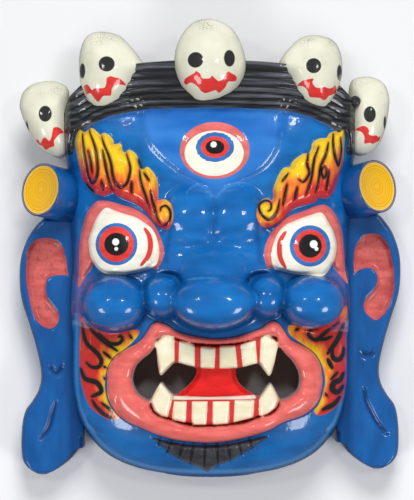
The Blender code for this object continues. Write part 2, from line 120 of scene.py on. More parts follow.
# %% Outlines of the block, the crown band and the forehead
BLOCK_EDGE = [(0, 164), (40, 163), (70, 160), (95, 153), (115, 141), (127, 124), (128, 88),
              (124, 44), (122, -10), (122, -75), (122, -115), (119, -138), (113, -155),
              (102, -171), (88, -183), (68, -192), (40, -198), (0, -200)]
BLOCK_CENTRE = (0, -18)
HEAD_PROFILE = [(-200, 46), (-191, 62), (-176, 75), (-150, 84), (-100, 89), (-40, 88),
                (10, 84), (60, 83), (100, 86), (164, 84)]
HEAD_EDGE_HEIGHT = 30
CROWN_EDGE_HEIGHT = 50
CROWN_FROM = 65
CROWN_SPAN = 40
HEAD_SQUARENESS = 3.0
CHIN_HALF_WIDTH = 30
CROWN_CORNER = 124

BAND = [(-190, 82), (-125, 82), (-119.5, 83.5), (-119, 94), (-117.5, 101), (-113, 104),
        (-102.5, 108.5), (-98, 111.5), (-87, 115.5), (-69.5, 119), (-52, 121.5), (-2.5, 122.5),
        (26, 122), (52, 121), (65, 120), (74, 118.5), (87, 115), (100, 109.5), (105, 106),
        (113, 103.5), (118, 102.5), (119.5, 95.5), (119, 83.5), (125, 82), (190, 82),
        (190, 230), (-190, 230)]
BAND_GROOVES = [3.5, 8.5, 14, 20, 27.5, 34]
FOREHEAD = [(-60, 105), (-54.5, 91), (-45, 79.5), (-33, 69.5), (-26, 64), (-17.5, 60),
            (-8.5, 56), (-3.5, 52.5), (1, 46.5), (3.5, 43.5), (7, 45.5), (10.5, 50),
            (15.5, 54.5), (21.5, 57), (30.5, 60), (39, 64), (47.5, 69.5), (53.5, 76),
            (59, 85), (62.5, 93.5), (66, 120), (60, 140), (-60, 140), (-63, 120)]
FROWN_LINE = [(3.5, 45), (3, 30), (3, 10)]
FROWN_FOLDS = [[(-33, 17), (-10, 13.5), (3, 12), (16, 13.5), (39, 17)],
               [(-30, 6), (-12, 4), (3, 3), (18, 4), (36, 6)]]

# Rounded forms: middle, half sizes, flatness of the front, and the fillet around them. First the
# pads over the nose, its bridge and the slope from there to its tip, then the cheeks, the wings
# of the nose and its tip.
FROWN_FORMS = [((-14, 28, 76), (28, 29, 22), 2.4, 7), ((21, 28, 76), (28, 29, 22), 2.4, 7),
               ((3, -8, 68), (60, 36, 29), 2.4, 12), ((3, -22, 76), (31, 28, 38), 2.0, 16)]
NOSE_AND_CHEEKS = [((-82, -46, 82), (28, 24, 32), 2.3, 4), ((88, -45, 82), (28, 23.5, 32), 2.3, 4),
                   ((-41, -40, 84), (18, 19, 27), 2.3, 5), ((49, -40, 84), (17, 19, 27), 2.3, 5),
                   ((3, -45.5, 92), (37, 23.5, 37), 3.0, 10)]
NOSTRIL_GROOVES = [[(-49, -28), (-44, -23), (-37, -21), (-29, -23.5), (-26.5, -30), (-31, -35)],
                   [(57, -28), (51.5, -22.5), (44.5, -21), (36.5, -23.5), (33.5, -30),
                    (38, -35)]]

# Painted shade: a deeper blue lies in the creases, with its half width. Painted highlight: a paler
# blue picks out a few crests.
SHADED_CREASES = [([(-55, -26), (-56, -42), (-57, -57), (-61, -68)], 3),
                  ([(61, -26), (65, -41), (62, -57), (66, -67)], 3),
                  ([(3.5, 47), (3.5, 10)], 1.2),
                  ([(-36, 50), (-35, 20), (-38, -10)], 1.5), ([(41, 50), (41, 20), (43, -10)], 1.5)]
PAINTED_HIGHLIGHT_CRESTS = [[(-22, 46), (-18, 52.5), (-13, 56), (-7, 54), (-2, 50), (1.5, 45)],
                     [(7, 46), (10.5, 51), (15.5, 54.5), (22.5, 57), (27.5, 55), (32, 51)],
                     [(-20, -25.5), (-8, -24), (8, -24.5)]]
print("block outline of", len(BLOCK_EDGE) * 2 - 2, "points")

# %% [markdown]
# ## Eyes and eyebrows
# The eyes are painted almonds with pink lids that run out in a tail at the temple. The eyebrows
# are flames, combed into locks by cut lines and rolled into a curl over the nose.

# %% Outlines of the eyes and eyebrows
LEFT_LID = [(-91.5, 43), (-98.5, 42.5), (-103.5, 38), (-108, 32), (-110.5, 24), (-113, 15.5),
            (-114.5, 7), (-115, -4.5), (-115, -15.5), (-115.5, -32), (-112, -28.5),
            (-108, -21.5), (-103.5, -15.5), (-101, -12), (-90.5, -15.5), (-69, -15.5),
            (-47.5, -16), (-45, -15), (-41.5, -9.5), (-40, -1.5), (-41.5, 7), (-45, 15.5),
            (-49, 22.5), (-54.5, 28.5), (-60.5, 33), (-67.5, 36.5), (-76, 39), (-84.5, 41.5)]
RIGHT_LID = [(46.5, -2.5), (48.5, 6), (52, 13), (55, 17.5), (61.5, 23.5), (69, 29.5),
             (77.5, 32.5), (86.5, 36), (93, 38.5), (99.5, 39.5), (105.5, 36.5), (110.5, 30),
             (114, 22.5), (116.5, 13), (117.5, 1.5), (118.5, -8.5), (119, -19),
             (120.5, -29.5), (115, -23.5), (109, -16), (105.5, -12), (86.5, -15.5),
             (64.5, -15.5), (53.5, -15.5), (50, -15.5), (47.5, -10.5)]
LEFT_WHITE = [(-91, 36.5), (-82.5, 34), (-73.5, 31), (-65, 28.5), (-59, 25), (-52, 20),
              (-47.5, 14), (-45, 6), (-44, -1.5), (-45.5, -10.5), (-49, -14.5), (-56, -17.5),
              (-65, -19.5), (-73.5, -21), (-82.5, -21), (-91, -20.5), (-97.5, -16.5),
              (-101, -12), (-104.5, -5), (-105.5, 1.5), (-106, 8.5), (-103.5, 16.5),
              (-98.5, 28)]
RIGHT_WHITE = [(96.5, 32.5), (102, 26), (108.5, 14), (110.5, 1), (106.5, -13), (98, -22.5),
               (86.5, -21.5), (74, -21), (62.5, -18), (55, -15.5), (53, -2.5), (57.5, 12.5),
               (64.5, 21), (74, 25.5), (86, 30)]
THIRD_LID = ((4, 86), (30, 24.5))
THIRD_WHITE = ((3.5, 83.5), (25.5, 19.5))

# Each iris: its middle and the half sizes of pupil, red ring and blue ring.
IRISES = [((-81, 5), (10.7, 9.9), (15.3, 15.3), (18.1, 18.1)),
          ((86.5, 3.5), (10.3, 10.3), (14.1, 14.1), (17.7, 17.7)),
          ((4.2, 88.8), (8.6, 6.2), (12.2, 9.2), (16, 12.5))]
GLINTS = [((-81.5, 7), 3.0), ((-81, 1), 1.6), ((89.5, 5), 3.4), ((92, 1), 1.7), ((3, 91), 2.7)]
CRESCENTS = [[(-56.5, 18.5), (-53, 13), (-51.5, 6), (-52, -1), (-54.5, -7), (-59.5, -13)],
             [(65, 15.5), (61.5, 10), (60, 5), (59.8, -1.5), (61, -8), (65, -15.5)]]

LEFT_BROW = [(-117, 99), (-114.5, 103.5), (-112, 104.5), (-110, 102.5), (-107.5, 103.5),
             (-105, 105.5), (-102.5, 106), (-99, 103.5), (-96.5, 101), (-94.5, 99), (-94, 101),
             (-91.5, 101.5), (-88, 100), (-85.5, 97.5), (-83.5, 94), (-83.5, 91.5), (-81, 92),
             (-78.5, 92.5), (-76.5, 90.5), (-76, 86), (-73, 84.5), (-71.5, 86.5), (-69, 86.5),
             (-65.5, 84.5), (-63, 81), (-61, 76.5), (-59.5, 71.5), (-57.5, 69), (-57, 70.5),
             (-54.5, 72), (-51.5, 70), (-48, 65.5), (-45.5, 59.5), (-45, 53.5), (-45, 46.5),
             (-45, 43), (-43, 43.5), (-39.5, 44), (-36, 42), (-33.5, 39), (-32, 33.5),
             (-32, 26.5), (-33.5, 21.5), (-36, 19), (-39, 18), (-42, 19), (-45.5, 21.5),
             (-50, 26), (-54.5, 32), (-58.5, 36), (-63, 39.5), (-68, 42), (-73, 44),
             (-79, 46.5), (-84.5, 50), (-88, 49), (-92, 47.5), (-96.5, 48), (-101, 50),
             (-105, 53.5), (-108.5, 58.5), (-112, 62), (-113.5, 69), (-115.5, 77.5),
             (-117, 86), (-118, 93)]
RIGHT_BROW = [(40, 30), (41.5, 39), (45, 43.5), (50, 45), (53.5, 43), (55, 46.5), (54.5, 51.5),
              (57, 59.5), (60.5, 67), (64.5, 71.5), (69, 71.5), (70.5, 75), (74, 79), (80, 83),
              (85.5, 84.5), (88, 88), (88.5, 92), (92, 95.5), (96.5, 97), (101.5, 97.5),
              (103.5, 101), (108.5, 103.5), (112, 102.5), (114.5, 104), (117, 102.5),
              (117, 90.5), (116.5, 77.5), (113.5, 67), (110, 56), (107, 49), (101.5, 45),
              (95.5, 45.5), (90.5, 41.5), (84.5, 40), (77.5, 38), (72.5, 36), (67, 31),
              (63, 26), (57.5, 22.5), (51.5, 20), (45.5, 20), (42, 24)]
BROW_LINES = [
    [(-111, 101), (-109.5, 86), (-107.5, 73), (-106, 64.5), (-102.5, 58), (-99, 62),
     (-97.5, 69), (-98, 77.5), (-99, 86), (-101, 93), (-105, 104)],
    [(-106, 86), (-104, 77.5), (-102.5, 67)],
    [(-94, 98), (-91.5, 90.5), (-88, 82), (-85.5, 73), (-84.5, 64.5), (-82, 57.5), (-77.5, 54),
     (-72.5, 57), (-70, 63.5), (-69, 70.5), (-70.5, 77.5), (-72.5, 83.5)],
    [(-93, 86), (-91.5, 77.5), (-89.5, 67), (-87, 57.5), (-84.5, 51.5)],
    [(-62, 79), (-59.5, 70.5)],
    [(-57.5, 67), (-52.5, 59.5)],
    [(-61, 69), (-59.5, 57.5), (-56, 47.5), (-52.5, 36)],
    [(-51.5, 51.5), (-50, 43), (-48, 37), (-46.5, 29.5), (-43, 22.5)],
    [(-43, 33.5), (-42, 37), (-38, 38), (-34.5, 33.5), (-34.5, 27.5), (-37, 22.5),
     (-41.5, 20.5)],
    [(-68, 59.5), (-68, 49)],
    [(-94.5, 60.5), (-93, 51.5)],
    [(-108.5, 58.5), (-106, 54.5), (-101.5, 51)],
    [(107, 101), (106.5, 94), (108, 83), (111.5, 74), (112.5, 75.5), (114.5, 85.5),
     (113.5, 97.5)],
    [(102.5, 93), (100.5, 83), (96, 72), (94, 59), (91.5, 50)],
    [(99, 73), (101.5, 68), (99, 62.5), (96.5, 68), (99, 73)],
    [(94, 89.5), (90.5, 79.5), (88.5, 67.5), (87, 59), (83, 48)],
    [(85, 84), (84, 74), (86, 66.5), (81, 59), (76.5, 61)],
    [(75.5, 54.5), (73, 43.5)],
    [(67.5, 66.5), (62, 59)],
    [(66.5, 57), (63, 39)],
    [(103.5, 69), (101, 51.5)],
    [(60, 43.5), (57.5, 32.5), (51, 26), (44.5, 30.5), (42, 38), (46.5, 42.5), (52, 41.5),
     (52.5, 35.5), (50, 33.5)]]
print(len(BROW_LINES), "cut lines in the eyebrows")

# %% [markdown]
# ## Mouth, goatee and cheek flames
# The lips are one broad roll around two rows of teeth. Between the rows the wood is cut right
# through beside the tongue, so that a dancer could see out and breathe.

# %% Outlines of the mouth, the goatee and the flames
LIP_OUTSIDE = [(-45.5, -62), (-50, -64), (-53.5, -69), (-58, -76), (-64, -81), (-70.5, -84.5),
               (-77.5, -89), (-83, -93), (-86, -97.5), (-89, -103.5), (-89.5, -110.5),
               (-89.5, -119), (-89, -127), (-86, -134.5), (-82, -140.5), (-77, -145.5),
               (-70.5, -150), (-64, -152.5), (-58, -155), (-50, -158.5), (-41.5, -161.5),
               (-30, -164.5), (-17, -166), (-4.5, -167), (8.5, -166.5), (21.5, -164.5),
               (34.5, -161.5), (45, -158.5), (53.5, -155), (60.5, -151), (69, -147.5),
               (77.5, -145), (84.5, -141.5), (90.5, -136.5), (95, -130), (97, -122.5),
               (98, -114.5), (97, -105), (95, -97.5), (90.5, -90.5), (84.5, -85.5), (76, -81),
               (69, -77), (64.5, -70.5), (60.5, -64.5), (55, -61.5), (50, -63), (45, -67.5),
               (37, -70.5), (28.5, -73.5), (17, -76), (4.5, -77), (-8.5, -75.5), (-19, -73.5),
               (-29.5, -70), (-36, -65.5), (-41.5, -63)]
LIP_INSIDE = [(-47.5, -84), (-46, -78), (-41.5, -74.5), (-34.5, -74.5), (-26, -77.5),
              (-13, -80.5), (4.5, -81.5), (22.5, -80.5), (34.5, -78), (45, -74.5), (52.5, -74.5),
              (58, -77), (59.5, -84.5), (65.5, -90.5), (71, -96), (75, -102), (77.5, -108),
              (78, -115), (76, -122), (71.5, -126), (67.5, -128.5), (61.5, -130.5), (59, -137),
              (52, -142.5), (42.5, -145), (31, -149.5), (15.5, -152), (-2.5, -153),
              (-17.5, -152.5), (-33, -148), (-43, -144.5), (-50, -140), (-53, -131.5),
              (-57, -129), (-62, -125.5), (-65.5, -120), (-67.5, -113), (-66.5, -107),
              (-64, -100.5), (-59, -95), (-52.5, -90)]
FULL_LIP = 15
# The two gaps follow the inside of the lips at the corners of the mouth.
MOUTH_HOLES = [
    [(-47, -84.5), *LIP_INSIDE[:-9:-1], (-52.5, -130.5), (-49, -125), (-45.5, -119),
     (-42.3, -115), (-39, -118.5), (-34.5, -123.5), (-29.5, -126), (-23.5, -122),
     (-17.5, -116.5), (-13, -110.5), (-12, -103), (-20, -100), (-29.5, -97.5), (-36.5, -103.5),
     (-42.8, -108.8), (-45.5, -99)],
    [(59, -84), *LIP_INSIDE[13:21], (61.5, -130), (58.5, -125), (55.5, -119.5), (52.4, -115.8),
     (48.5, -119.5), (42.5, -127), (35.5, -124.5), (27.5, -118.5), (23.5, -112.5),
     (22.5, -103.5), (30, -101), (40.5, -98.5), (46, -103.5), (51.6, -109), (55.5, -98.5)]]
TEETH = [
    [(-47.5, -81), (-45, -77), (-40.5, -74), (-36, -73.5), (-31, -75), (-31, -96.5),
     (-36, -102), (-41.5, -108), (-43, -109), (-44, -107), (-45.5, -96.5), (-47.5, -84.5)],
    [(-26.5, -78.5), (-17, -80), (-13.5, -82), (-13.5, -101), (-20, -99.5), (-27, -97)],
    [(-8, -83.5), (4.5, -84.5), (3.5, -102.5), (-8, -102)],
    [(8.5, -83), (21.5, -82.5), (23.5, -102), (8.5, -102.5)],
    [(26.5, -82), (33, -79.5), (39, -78.5), (40.5, -98.5), (34.5, -100), (28.5, -101.5)],
    [(44, -75), (50, -73.5), (55, -76), (58.5, -79.5), (59, -85.5), (57, -95), (53.5, -107),
     (51.5, -109.5), (49, -108.5), (45.5, -102.5), (43, -97.5)],
    [(-51.5, -129.5), (-48.5, -123.5), (-45, -115.5), (-42.5, -114), (-39.5, -117.5),
     (-35.5, -122.5), (-32, -126), (-33.5, -131), (-35.5, -138), (-37, -145.5), (-43, -144),
     (-49, -139.5), (-52.5, -131)],
    [(-31, -131), (-20.5, -131), (-21.5, -150), (-33, -147.5)],
    [(-15.5, -131), (-2.5, -131), (-3.5, -152), (-15.5, -152)],
    [(2.5, -131), (16.5, -131), (15.5, -151), (2.5, -152)],
    [(21.5, -130), (38, -130), (37, -145.5), (20.5, -149.5)],
    [(42.5, -129.5), (45.5, -123.5), (50, -117.5), (52, -115), (55, -119), (58.5, -126),
     (60.5, -130), (58, -136.5), (51.5, -141.5), (45, -144.5), (42.5, -144)]]
FANG_RIDGES = [[(-39, -78), (-43, -107)], [(51, -78), (51, -107)],
               [(-42.5, -117), (-44, -141)], [(52, -118), (51, -139)]]
UPPER_GUM = [(-32, -75.5), (-26, -79), (-13, -83), (4, -84), (21, -82.5), (33, -79), (38, -76),
             (45, -73.5), (45, -97), (36, -99.5), (26, -101.5), (8, -102.5), (-8, -102),
             (-20, -99.5), (-32, -96.5)]
LOWER_GUM = [(-37, -128), (-32, -130), (38, -129.5), (44, -127), (43.5, -143), (38, -145.5),
             (16, -151), (-4, -151.5), (-21, -149.5), (-33, -147), (-38, -144)]
LOWER_LEDGE = [(-35, -126.5), (0, -127.5), (39, -126), (41, -131), (-34, -132)]
TONGUE = [(-10, -96), (21, -96), (22.5, -103.5), (23.5, -112.5), (27.5, -118.5),
          (33.5, -122.5), (42, -127.5), (41, -135), (-33, -135), (-34, -126), (-23.5, -122),
          (-17.5, -116.5), (-13, -110.5), (-11.5, -103.5)]
GOATEE = [(-52, -162), (-43.5, -164.5), (-30.5, -167), (-17.5, -169), (-4.5, -169.5),
          (8.5, -169), (21.5, -167), (34.5, -164.5), (50, -161.5), (45, -166), (36.5, -172.5),
          (28.5, -177.5), (19, -183.5), (10.5, -187), (2.5, -190.5), (-2.5, -194.5),
          (-8.5, -190.5), (-17.5, -187), (-26, -182.5), (-33, -178.5), (-40, -172.5),
          (-46, -167)]
GOATEE_LINES = [[(-43.5, -164.5), (-45, -169.5)], [(-34, -167), (-38, -177.5)],
                [(-23.5, -169), (-27.5, -182)], [(-14.5, -169.5), (-17.5, -187)],
                [(-4.5, -169.5), (-5, -191.5)], [(6, -169.5), (7, -188.5)],
                [(15.5, -169), (18, -183.5)], [(25, -167), (27.5, -178.5)],
                [(34.5, -164.5), (37, -172.5)]]
FLAMES = [
    [(-114, -55), (-110.5, -60), (-104.5, -65), (-97.5, -69.5), (-88.5, -72), (-80, -72),
     (-71, -70), (-63, -69), (-61.5, -72.5), (-66.5, -79), (-72, -84), (-78, -89.5),
     (-84, -93.5), (-87.5, -99), (-90.5, -106), (-91.5, -113), (-91.5, -120), (-89.5, -130.5),
     (-85, -138.5), (-79, -145), (-82, -148), (-89, -147.5), (-96, -144), (-103, -139),
     (-108, -131.5), (-111.5, -122), (-113.5, -112.5), (-114.5, -98.5), (-114.5, -83.5),
     (-114, -70)],
    [(68.5, -65), (78, -66.5), (88, -67.5), (97.5, -65.5), (105.5, -61.5), (113, -54.5),
     (118.5, -48), (120, -61.5), (120.5, -80), (120.5, -97.5), (120, -113.5), (118, -126.5),
     (114.5, -133.5), (108, -139.5), (100.5, -143.5), (93.5, -144), (90.5, -140), (95, -134),
     (98.5, -124.5), (100.5, -115), (98.5, -103), (93, -92), (85, -85), (76.5, -79),
     (69.5, -73.5), (67.5, -69.5)]]
# Each stroke of the cheek flames, with its half width.
FLAME_LINES = [
    ([(-112, -64), (-110, -76.5), (-106.5, -83), (-100.5, -88), (-96, -93), (-94.5, -97.5),
      (-97.5, -102), (-103.5, -102), (-108, -98.5)], 1.7),
    ([(-113.5, -104), (-110, -112), (-104.5, -114), (-99, -115.5), (-95.5, -119.5), (-95, -123.5),
      (-99, -126), (-103.5, -128)], 2.0),
    ([(-108, -63), (-102.5, -70.5), (-96, -76.5), (-89, -82), (-80.5, -87.5)], 1.5),
    ([(-97, -72.5), (-91, -78.5), (-85.5, -81.5), (-79.5, -81), (-76, -77.5), (-77.5, -74.5),
      (-79.5, -75.5)], 1.5),
    ([(-93, -88.5), (-86, -94)], 1.2), ([(-93, -101), (-90, -102.5)], 1.0),
    ([(-92.5, -110.5), (-91, -113)], 0.8), ([(-70, -73), (-67.5, -77)], 1.0),
    ([(-103, -131), (-100, -136), (-96.5, -139.5), (-92, -143.5), (-84.5, -146.5)], 1.5),
    ([(-95, -133), (-88, -138), (-84.5, -141)], 1.2),
    ([(112, -63), (105.5, -68), (98.5, -73.5), (93, -78), (88, -76.5), (85.5, -73), (88, -69),
      (93, -68.5)], 1.6),
    ([(93, -78), (100.5, -77.5), (106.5, -75.5)], 1.4),
    ([(117, -64), (114, -73.5), (110, -81), (105, -87), (102.5, -90.5)], 2.1),
    ([(107, -86), (107, -93), (110, -96), (114, -95.5), (117, -91), (117.5, -86)], 1.9),
    ([(102.5, -95), (107, -103.5)], 1.8), ([(112, -107), (105.5, -113)], 1.2),
    ([(117.5, -108), (114, -114), (108.5, -116), (107, -121.5), (112, -124.5), (117, -119.5)],
     2.5),
    ([(114, -129), (108.5, -135), (101.5, -138), (98, -139.5)], 2.0),
    ([(100.5, -125), (102.5, -128)], 1.1), ([(77, -68), (74, -69.5)], 1.3)]
print(len(TEETH), "teeth")

# %% [markdown]
# ## Ears and skulls
# The ears are long slabs with a sunk pink hollow. A turned plug goes through the top of each and
# five small skulls, plain eggs with painted faces, sit on the crown band.

# %% Outlines of the ears and sizes of the skulls
EAR_OUTER = [(30, -147), (22, -155), (10, -163), (-8, -169), (-28, -170), (-45, -168),
             (-64, -162), (-84, -156), (-107, -151), (-122, -152), (-134, -158), (-144, -165),
             (-160, -168), (-182, -168), (-192, -164), (-198, -156), (-200, -149)]
EAR_INNER = [(30, -112), (-168, -112), (-176, -116), (-186, -124), (-194, -134), (-199, -144),
             (-200, -147)]
RIGHT_EAR_RISE = 5
EAR_HOLLOWS = {
    -1: [(-158.5, 6), (-153, 10), (-146.5, 11), (-140.5, 10.5), (-135, 8), (-131.5, 4.5),
         (-129, -2), (-127, -9), (-126, -18), (-125.5, -22.5), (-133.5, -22.5),
         (-139.5, -23.5), (-144, -26), (-145, -31), (-145, -38), (-142.5, -44.5), (-138, -50),
         (-134.5, -55), (-133.5, -61.5), (-136, -66.5), (-140.5, -70), (-146.5, -69),
         (-153, -64), (-156.5, -58), (-159, -50.5), (-161, -40), (-163, -29.5),
         (-163.5, -19.5), (-163, -9), (-162, 0)],
    1: [(128, -22), (127, -10.5), (128, 0), (130.5, 6), (134.5, 11.5), (138.5, 14), (144, 15),
        (149.5, 14), (154.5, 10), (159, 3.5), (161, -5.5), (163, -14), (163.5, -23),
        (163.5, -34), (161, -44.5), (156.5, -54.5), (151, -60.5), (146.5, -62.5),
        (141.5, -59.5), (137, -54.5), (136, -48), (138.5, -42), (143, -37.5), (146.5, -32),
        (148, -26), (146.5, -19.5), (142.5, -16.5), (137, -16.5), (131.5, -18.5)]}
EAR_CREASES = {
    -1: [[(-136.5, -134.5), (-139, -143.5), (-142, -155), (-146, -162), (-150.5, -166.5)],
         [(-142, -103.5), (-135.5, -109), (-130.5, -103)]],
    1: [[(136.5, -122.5), (138, -133), (142, -142), (147, -151.5), (152.5, -158.5),
         (157.5, -163)], [(134, -91.5), (140, -93), (144.5, -90.5)]]}
PLUG_CENTRES = [((-149, 53, 56), -1), ((147, 56, 56), 1)]
PLUG_TURN = math.radians(42)
PLUG_LIFT = math.radians(13)
KNOB_PLACE = (127, 130, 62)
EAR_TOP, EAR_BOTTOM = 30, -200
LOBE_FROM = -165
EAR_EDGE_SHARE = 0.5

# Each skull: outline from the front, height of its middle and half its depth, then the eyes
# with their half sizes, then the mouth.
SKULLS = {
    "skull_far_left": (
        [(-145, 149), (-134, 148), (-125, 141), (-124, 121), (-124, 105), (-124, 88),
         (-132, 81), (-141, 84), (-149, 89), (-155, 97), (-161, 107), (-166, 119),
         (-168, 128), (-165, 139), (-157, 146)], 42, 24,
        [((-144, 119), (5.7, 7)), ((-161, 106), (1.5, 7))],
        [(-153, 96.5), (-150.5, 96.5), (-149, 93.5), (-146, 98), (-143.5, 98), (-141, 95.5),
         (-139, 98), (-137.5, 105), (-136.5, 107), (-133, 107.5), (-129.5, 105),
         (-128.5, 102.5), (-131.5, 101.5), (-134, 99), (-136.5, 95.5), (-136.5, 91),
         (-140, 90), (-144.5, 88), (-147, 91), (-150.5, 93)]),
    "skull_left": (
        [(-97, 190), (-80, 187), (-69, 177), (-61, 167), (-57, 160), (-63, 147), (-70, 135),
         (-80, 125), (-93, 121), (-104, 126), (-110, 136), (-113, 147), (-114, 162),
         (-113, 173), (-108, 185)], 72, 27,
        [((-89, 160), (6.9, 6.6)), ((-110.5, 155), (2.6, 6.5))],
        [(-109.5, 141.5), (-107, 143), (-104.5, 141.5), (-102, 138), (-99, 139.5),
         (-91.5, 139.5), (-89.5, 143), (-89, 147.5), (-86, 149.5), (-82, 148.5),
         (-77.5, 147.5), (-72.5, 142.5), (-77.5, 142.5), (-82, 141.5), (-84.5, 139),
         (-85.5, 133.5), (-89, 133), (-92.5, 132.5), (-96.5, 128), (-100, 131),
         (-103.5, 135.5), (-107, 134.5), (-108.5, 138)]),
    "skull_middle": (
        [(-1, 200), (-17, 195), (-28, 179), (-31, 162), (-28, 148), (-21, 136), (-9, 127),
         (9, 130), (21, 137), (29, 149), (31, 162), (27, 178), (17, 193)], 86, 28,
        [((-12.5, 162.5), (6.7, 6.7)), ((16.5, 164), (4.7, 7.2))],
        [(-22.5, 144), (-21.5, 147), (-18, 149), (-13.5, 151.5), (-12, 153), (-8.5, 150.5),
         (-7, 147), (-3.5, 146.5), (0, 147), (1.5, 149), (4.5, 146.5), (7.5, 144.5),
         (11, 146.5), (13, 150), (15.5, 152.5), (19, 151), (22.5, 149), (22.5, 145.5),
         (19, 144.5), (15.5, 144), (13, 139.5), (9.5, 136), (7, 135), (5, 137), (1.5, 136),
         (-1.5, 135), (-4.5, 134.5), (-7.5, 136), (-9.5, 138.5), (-12, 141), (-16.5, 143.5),
         (-20.5, 142)]),
    "skull_right": (
        [(92, 187), (106, 183), (113, 173), (115, 159), (113, 145), (107, 131), (99, 122),
         (86, 123), (75, 133), (67, 147), (60, 159), (62, 167), (72, 179), (80, 185)], 72, 27,
        [((89, 158.5), (6.5, 6.5)), ((112, 153.5), (2.4, 6.8))],
        [(75, 141.5), (77, 144), (80, 146), (84.5, 147), (89, 147.5), (88, 144),
         (90.5, 140.5), (94, 139.5), (98.5, 140.5), (102.5, 139.5), (106, 140.5),
         (108, 142.5), (109.5, 140.5), (109.5, 136.5), (106, 134.5), (102.5, 133), (100, 130),
         (97.5, 129.5), (95, 131), (90.5, 131.5), (86, 132), (84.5, 135.5), (83.5, 138),
         (81, 140.5), (77.5, 141.5)]),
    "skull_far_right": (
        [(137, 153), (145, 152), (154, 146), (158, 135), (158, 127), (156, 113), (152, 99),
         (147, 91), (141, 86), (132, 83), (123, 88), (122, 105), (122, 123), (122, 136),
         (124, 148), (130, 152)], 42, 24,
        [((139.5, 118.5), (5.3, 7)), ((153.5, 112), (1.4, 5.5))],
        [(127, 105), (129.5, 107), (134, 108.5), (137.5, 107), (139, 104), (139, 101.5),
         (142, 100), (145.5, 100.5), (148, 99), (149.5, 100.5), (149, 96.5), (145.5, 94.5),
         (142.5, 93), (140, 94), (135.5, 93), (135, 95.5), (135, 99), (133, 102.5),
         (130.5, 104)])}
print(len(SKULLS), "skulls")

# %% [markdown]
# ## Drawing tools
# Curves are drawn through a few points. Distances to a curve give both the carved relief and the
# edge of each colour, so paint and carving always agree.

# %% Curves, distances and soft shapes
MARGIN = 14


def smooth_loop(points, steps=4):
    """A closed curve through the points, as short straight runs."""
    given = np.array(points, dtype=float)
    before, after = np.roll(given, 1, axis=0), np.roll(given, -1, axis=0)
    beyond = np.roll(given, -2, axis=0)
    runs = []
    for t in np.arange(steps) / steps:
        runs.append(0.5 * (2 * given + (after - before) * t
                           + (2 * before - 5 * given + 4 * after - beyond) * t ** 2
                           + (3 * given - before - 3 * after + beyond) * t ** 3))
    return np.stack(runs, axis=1).reshape(-1, 2)


def distance_to_line(x, y, points):
    """Distance of each point from the nearest run of a line."""
    nearest = np.full(x.shape, 1e9)
    for (ax, ay), (bx, by) in zip(points[:-1], points[1:]):
        length = (bx - ax) ** 2 + (by - ay) ** 2 + 1e-12
        along = np.clip(((x - ax) * (bx - ax) + (y - ay) * (by - ay)) / length, 0, 1)
        gap = np.hypot(x - ax - along * (bx - ax), y - ay - along * (by - ay))
        nearest = np.minimum(nearest, gap)
    return nearest


def close_to(x, y, points, margin=MARGIN):
    """Which points are near enough to an outline to be worth measuring."""
    lowest, highest = np.min(points, axis=0) - margin, np.max(points, axis=0) + margin
    return (x > lowest[0]) & (x < highest[0]) & (y > lowest[1]) & (y < highest[1])


def inside_by(x, y, points, rounded=True):
    """How far each point lies inside a closed outline. It is negative outside."""
    loop = smooth_loop(points) if rounded else np.array(points, dtype=float)
    near = close_to(x, y, loop)
    px, py = x[near], y[near]
    closed = np.vstack([loop, loop[:1]])
    inside = np.zeros(px.shape, dtype=bool)
    for (ax, ay), (bx, by) in zip(closed[:-1], closed[1:]):
        if ay != by:
            crosses = (ay > py) != (by > py)
            inside ^= crosses & (px < (bx - ax) * (py - ay) / (by - ay) + ax)
    depth = np.full(x.shape, -float(MARGIN))
    depth[near] = np.where(inside, 1, -1) * distance_to_line(px, py, closed)
    return depth


def inside_oval(x, y, oval):
    (cx, cy), (rx, ry) = oval
    return (1 - np.hypot((x - cx) / rx, (y - cy) / ry)) * min(rx, ry)


def smooth_line(points, steps=6):
    """An open curve through the points, as short straight runs."""
    given = np.array(points, dtype=float)
    ends = 2 * given[[0, -1]] - given[[1, -2]]
    p = np.vstack([ends[:1], given, ends[1:]])
    before, start, end, beyond = p[:-3], p[1:-2], p[2:-1], p[3:]
    runs = []
    for t in np.arange(steps) / steps:
        runs.append(0.5 * (2 * start + (end - before) * t
                           + (2 * before - 5 * start + 4 * end - beyond) * t ** 2
                           + (3 * start - before - 3 * end + beyond) * t ** 3))
    return np.vstack([np.stack(runs, axis=1).reshape(-1, 2), given[-1:]])


def brush_line(x, y, points, half_width, thinnest=0.45):
    """How far each point lies inside a stroke that thins out towards both its ends."""
    given = smooth_line(points)
    knots = np.concatenate([[0], np.cumsum(np.hypot(*np.diff(given, axis=0).T))])
    places = np.linspace(0, knots[-1], max(3, round(knots[-1] / 1.1)))
    path = np.stack([np.interp(places, knots, given[:, k]) for k in (0, 1)], axis=1)
    near = close_to(x, y, path, 4)
    found = np.full(x.shape, -4.0)
    for (px, py), place in zip(path, places / knots[-1]):
        wide = half_width * (thinnest + (1 - thinnest) * math.sin(math.pi * place) ** 0.5)
        gap = wide - np.hypot(x[near] - px, y[near] - py)
        found[near] = np.maximum(found[near], gap)
    return found


def most(fields):
    return np.max(np.stack(list(fields)), axis=0)


def step_up(value):
    t = np.clip(value, 0, 1)
    return t * t * (3 - 2 * t)


def bump(distance, width):
    return np.exp(-(distance / width) ** 2)


def melt(a, b, blend):
    """The higher of two surfaces, with a fillet where they meet."""
    mix = np.clip(0.5 + 0.5 * (a - b) / blend, 0, 1)
    return b + (a - b) * mix + blend * mix * (1 - mix)


def ball(x, y, centre, radii, flatness=2.0):
    """Height of a rounded form, falling away fast outside its outline."""
    r = np.hypot((x - centre[0]) / radii[0], (y - centre[1]) / radii[1])
    cap = np.clip(1 - r ** flatness, 0, 1) ** (1 / flatness)
    return centre[2] + radii[2] * cap - STEEP * np.clip(r - 1, 0, None)


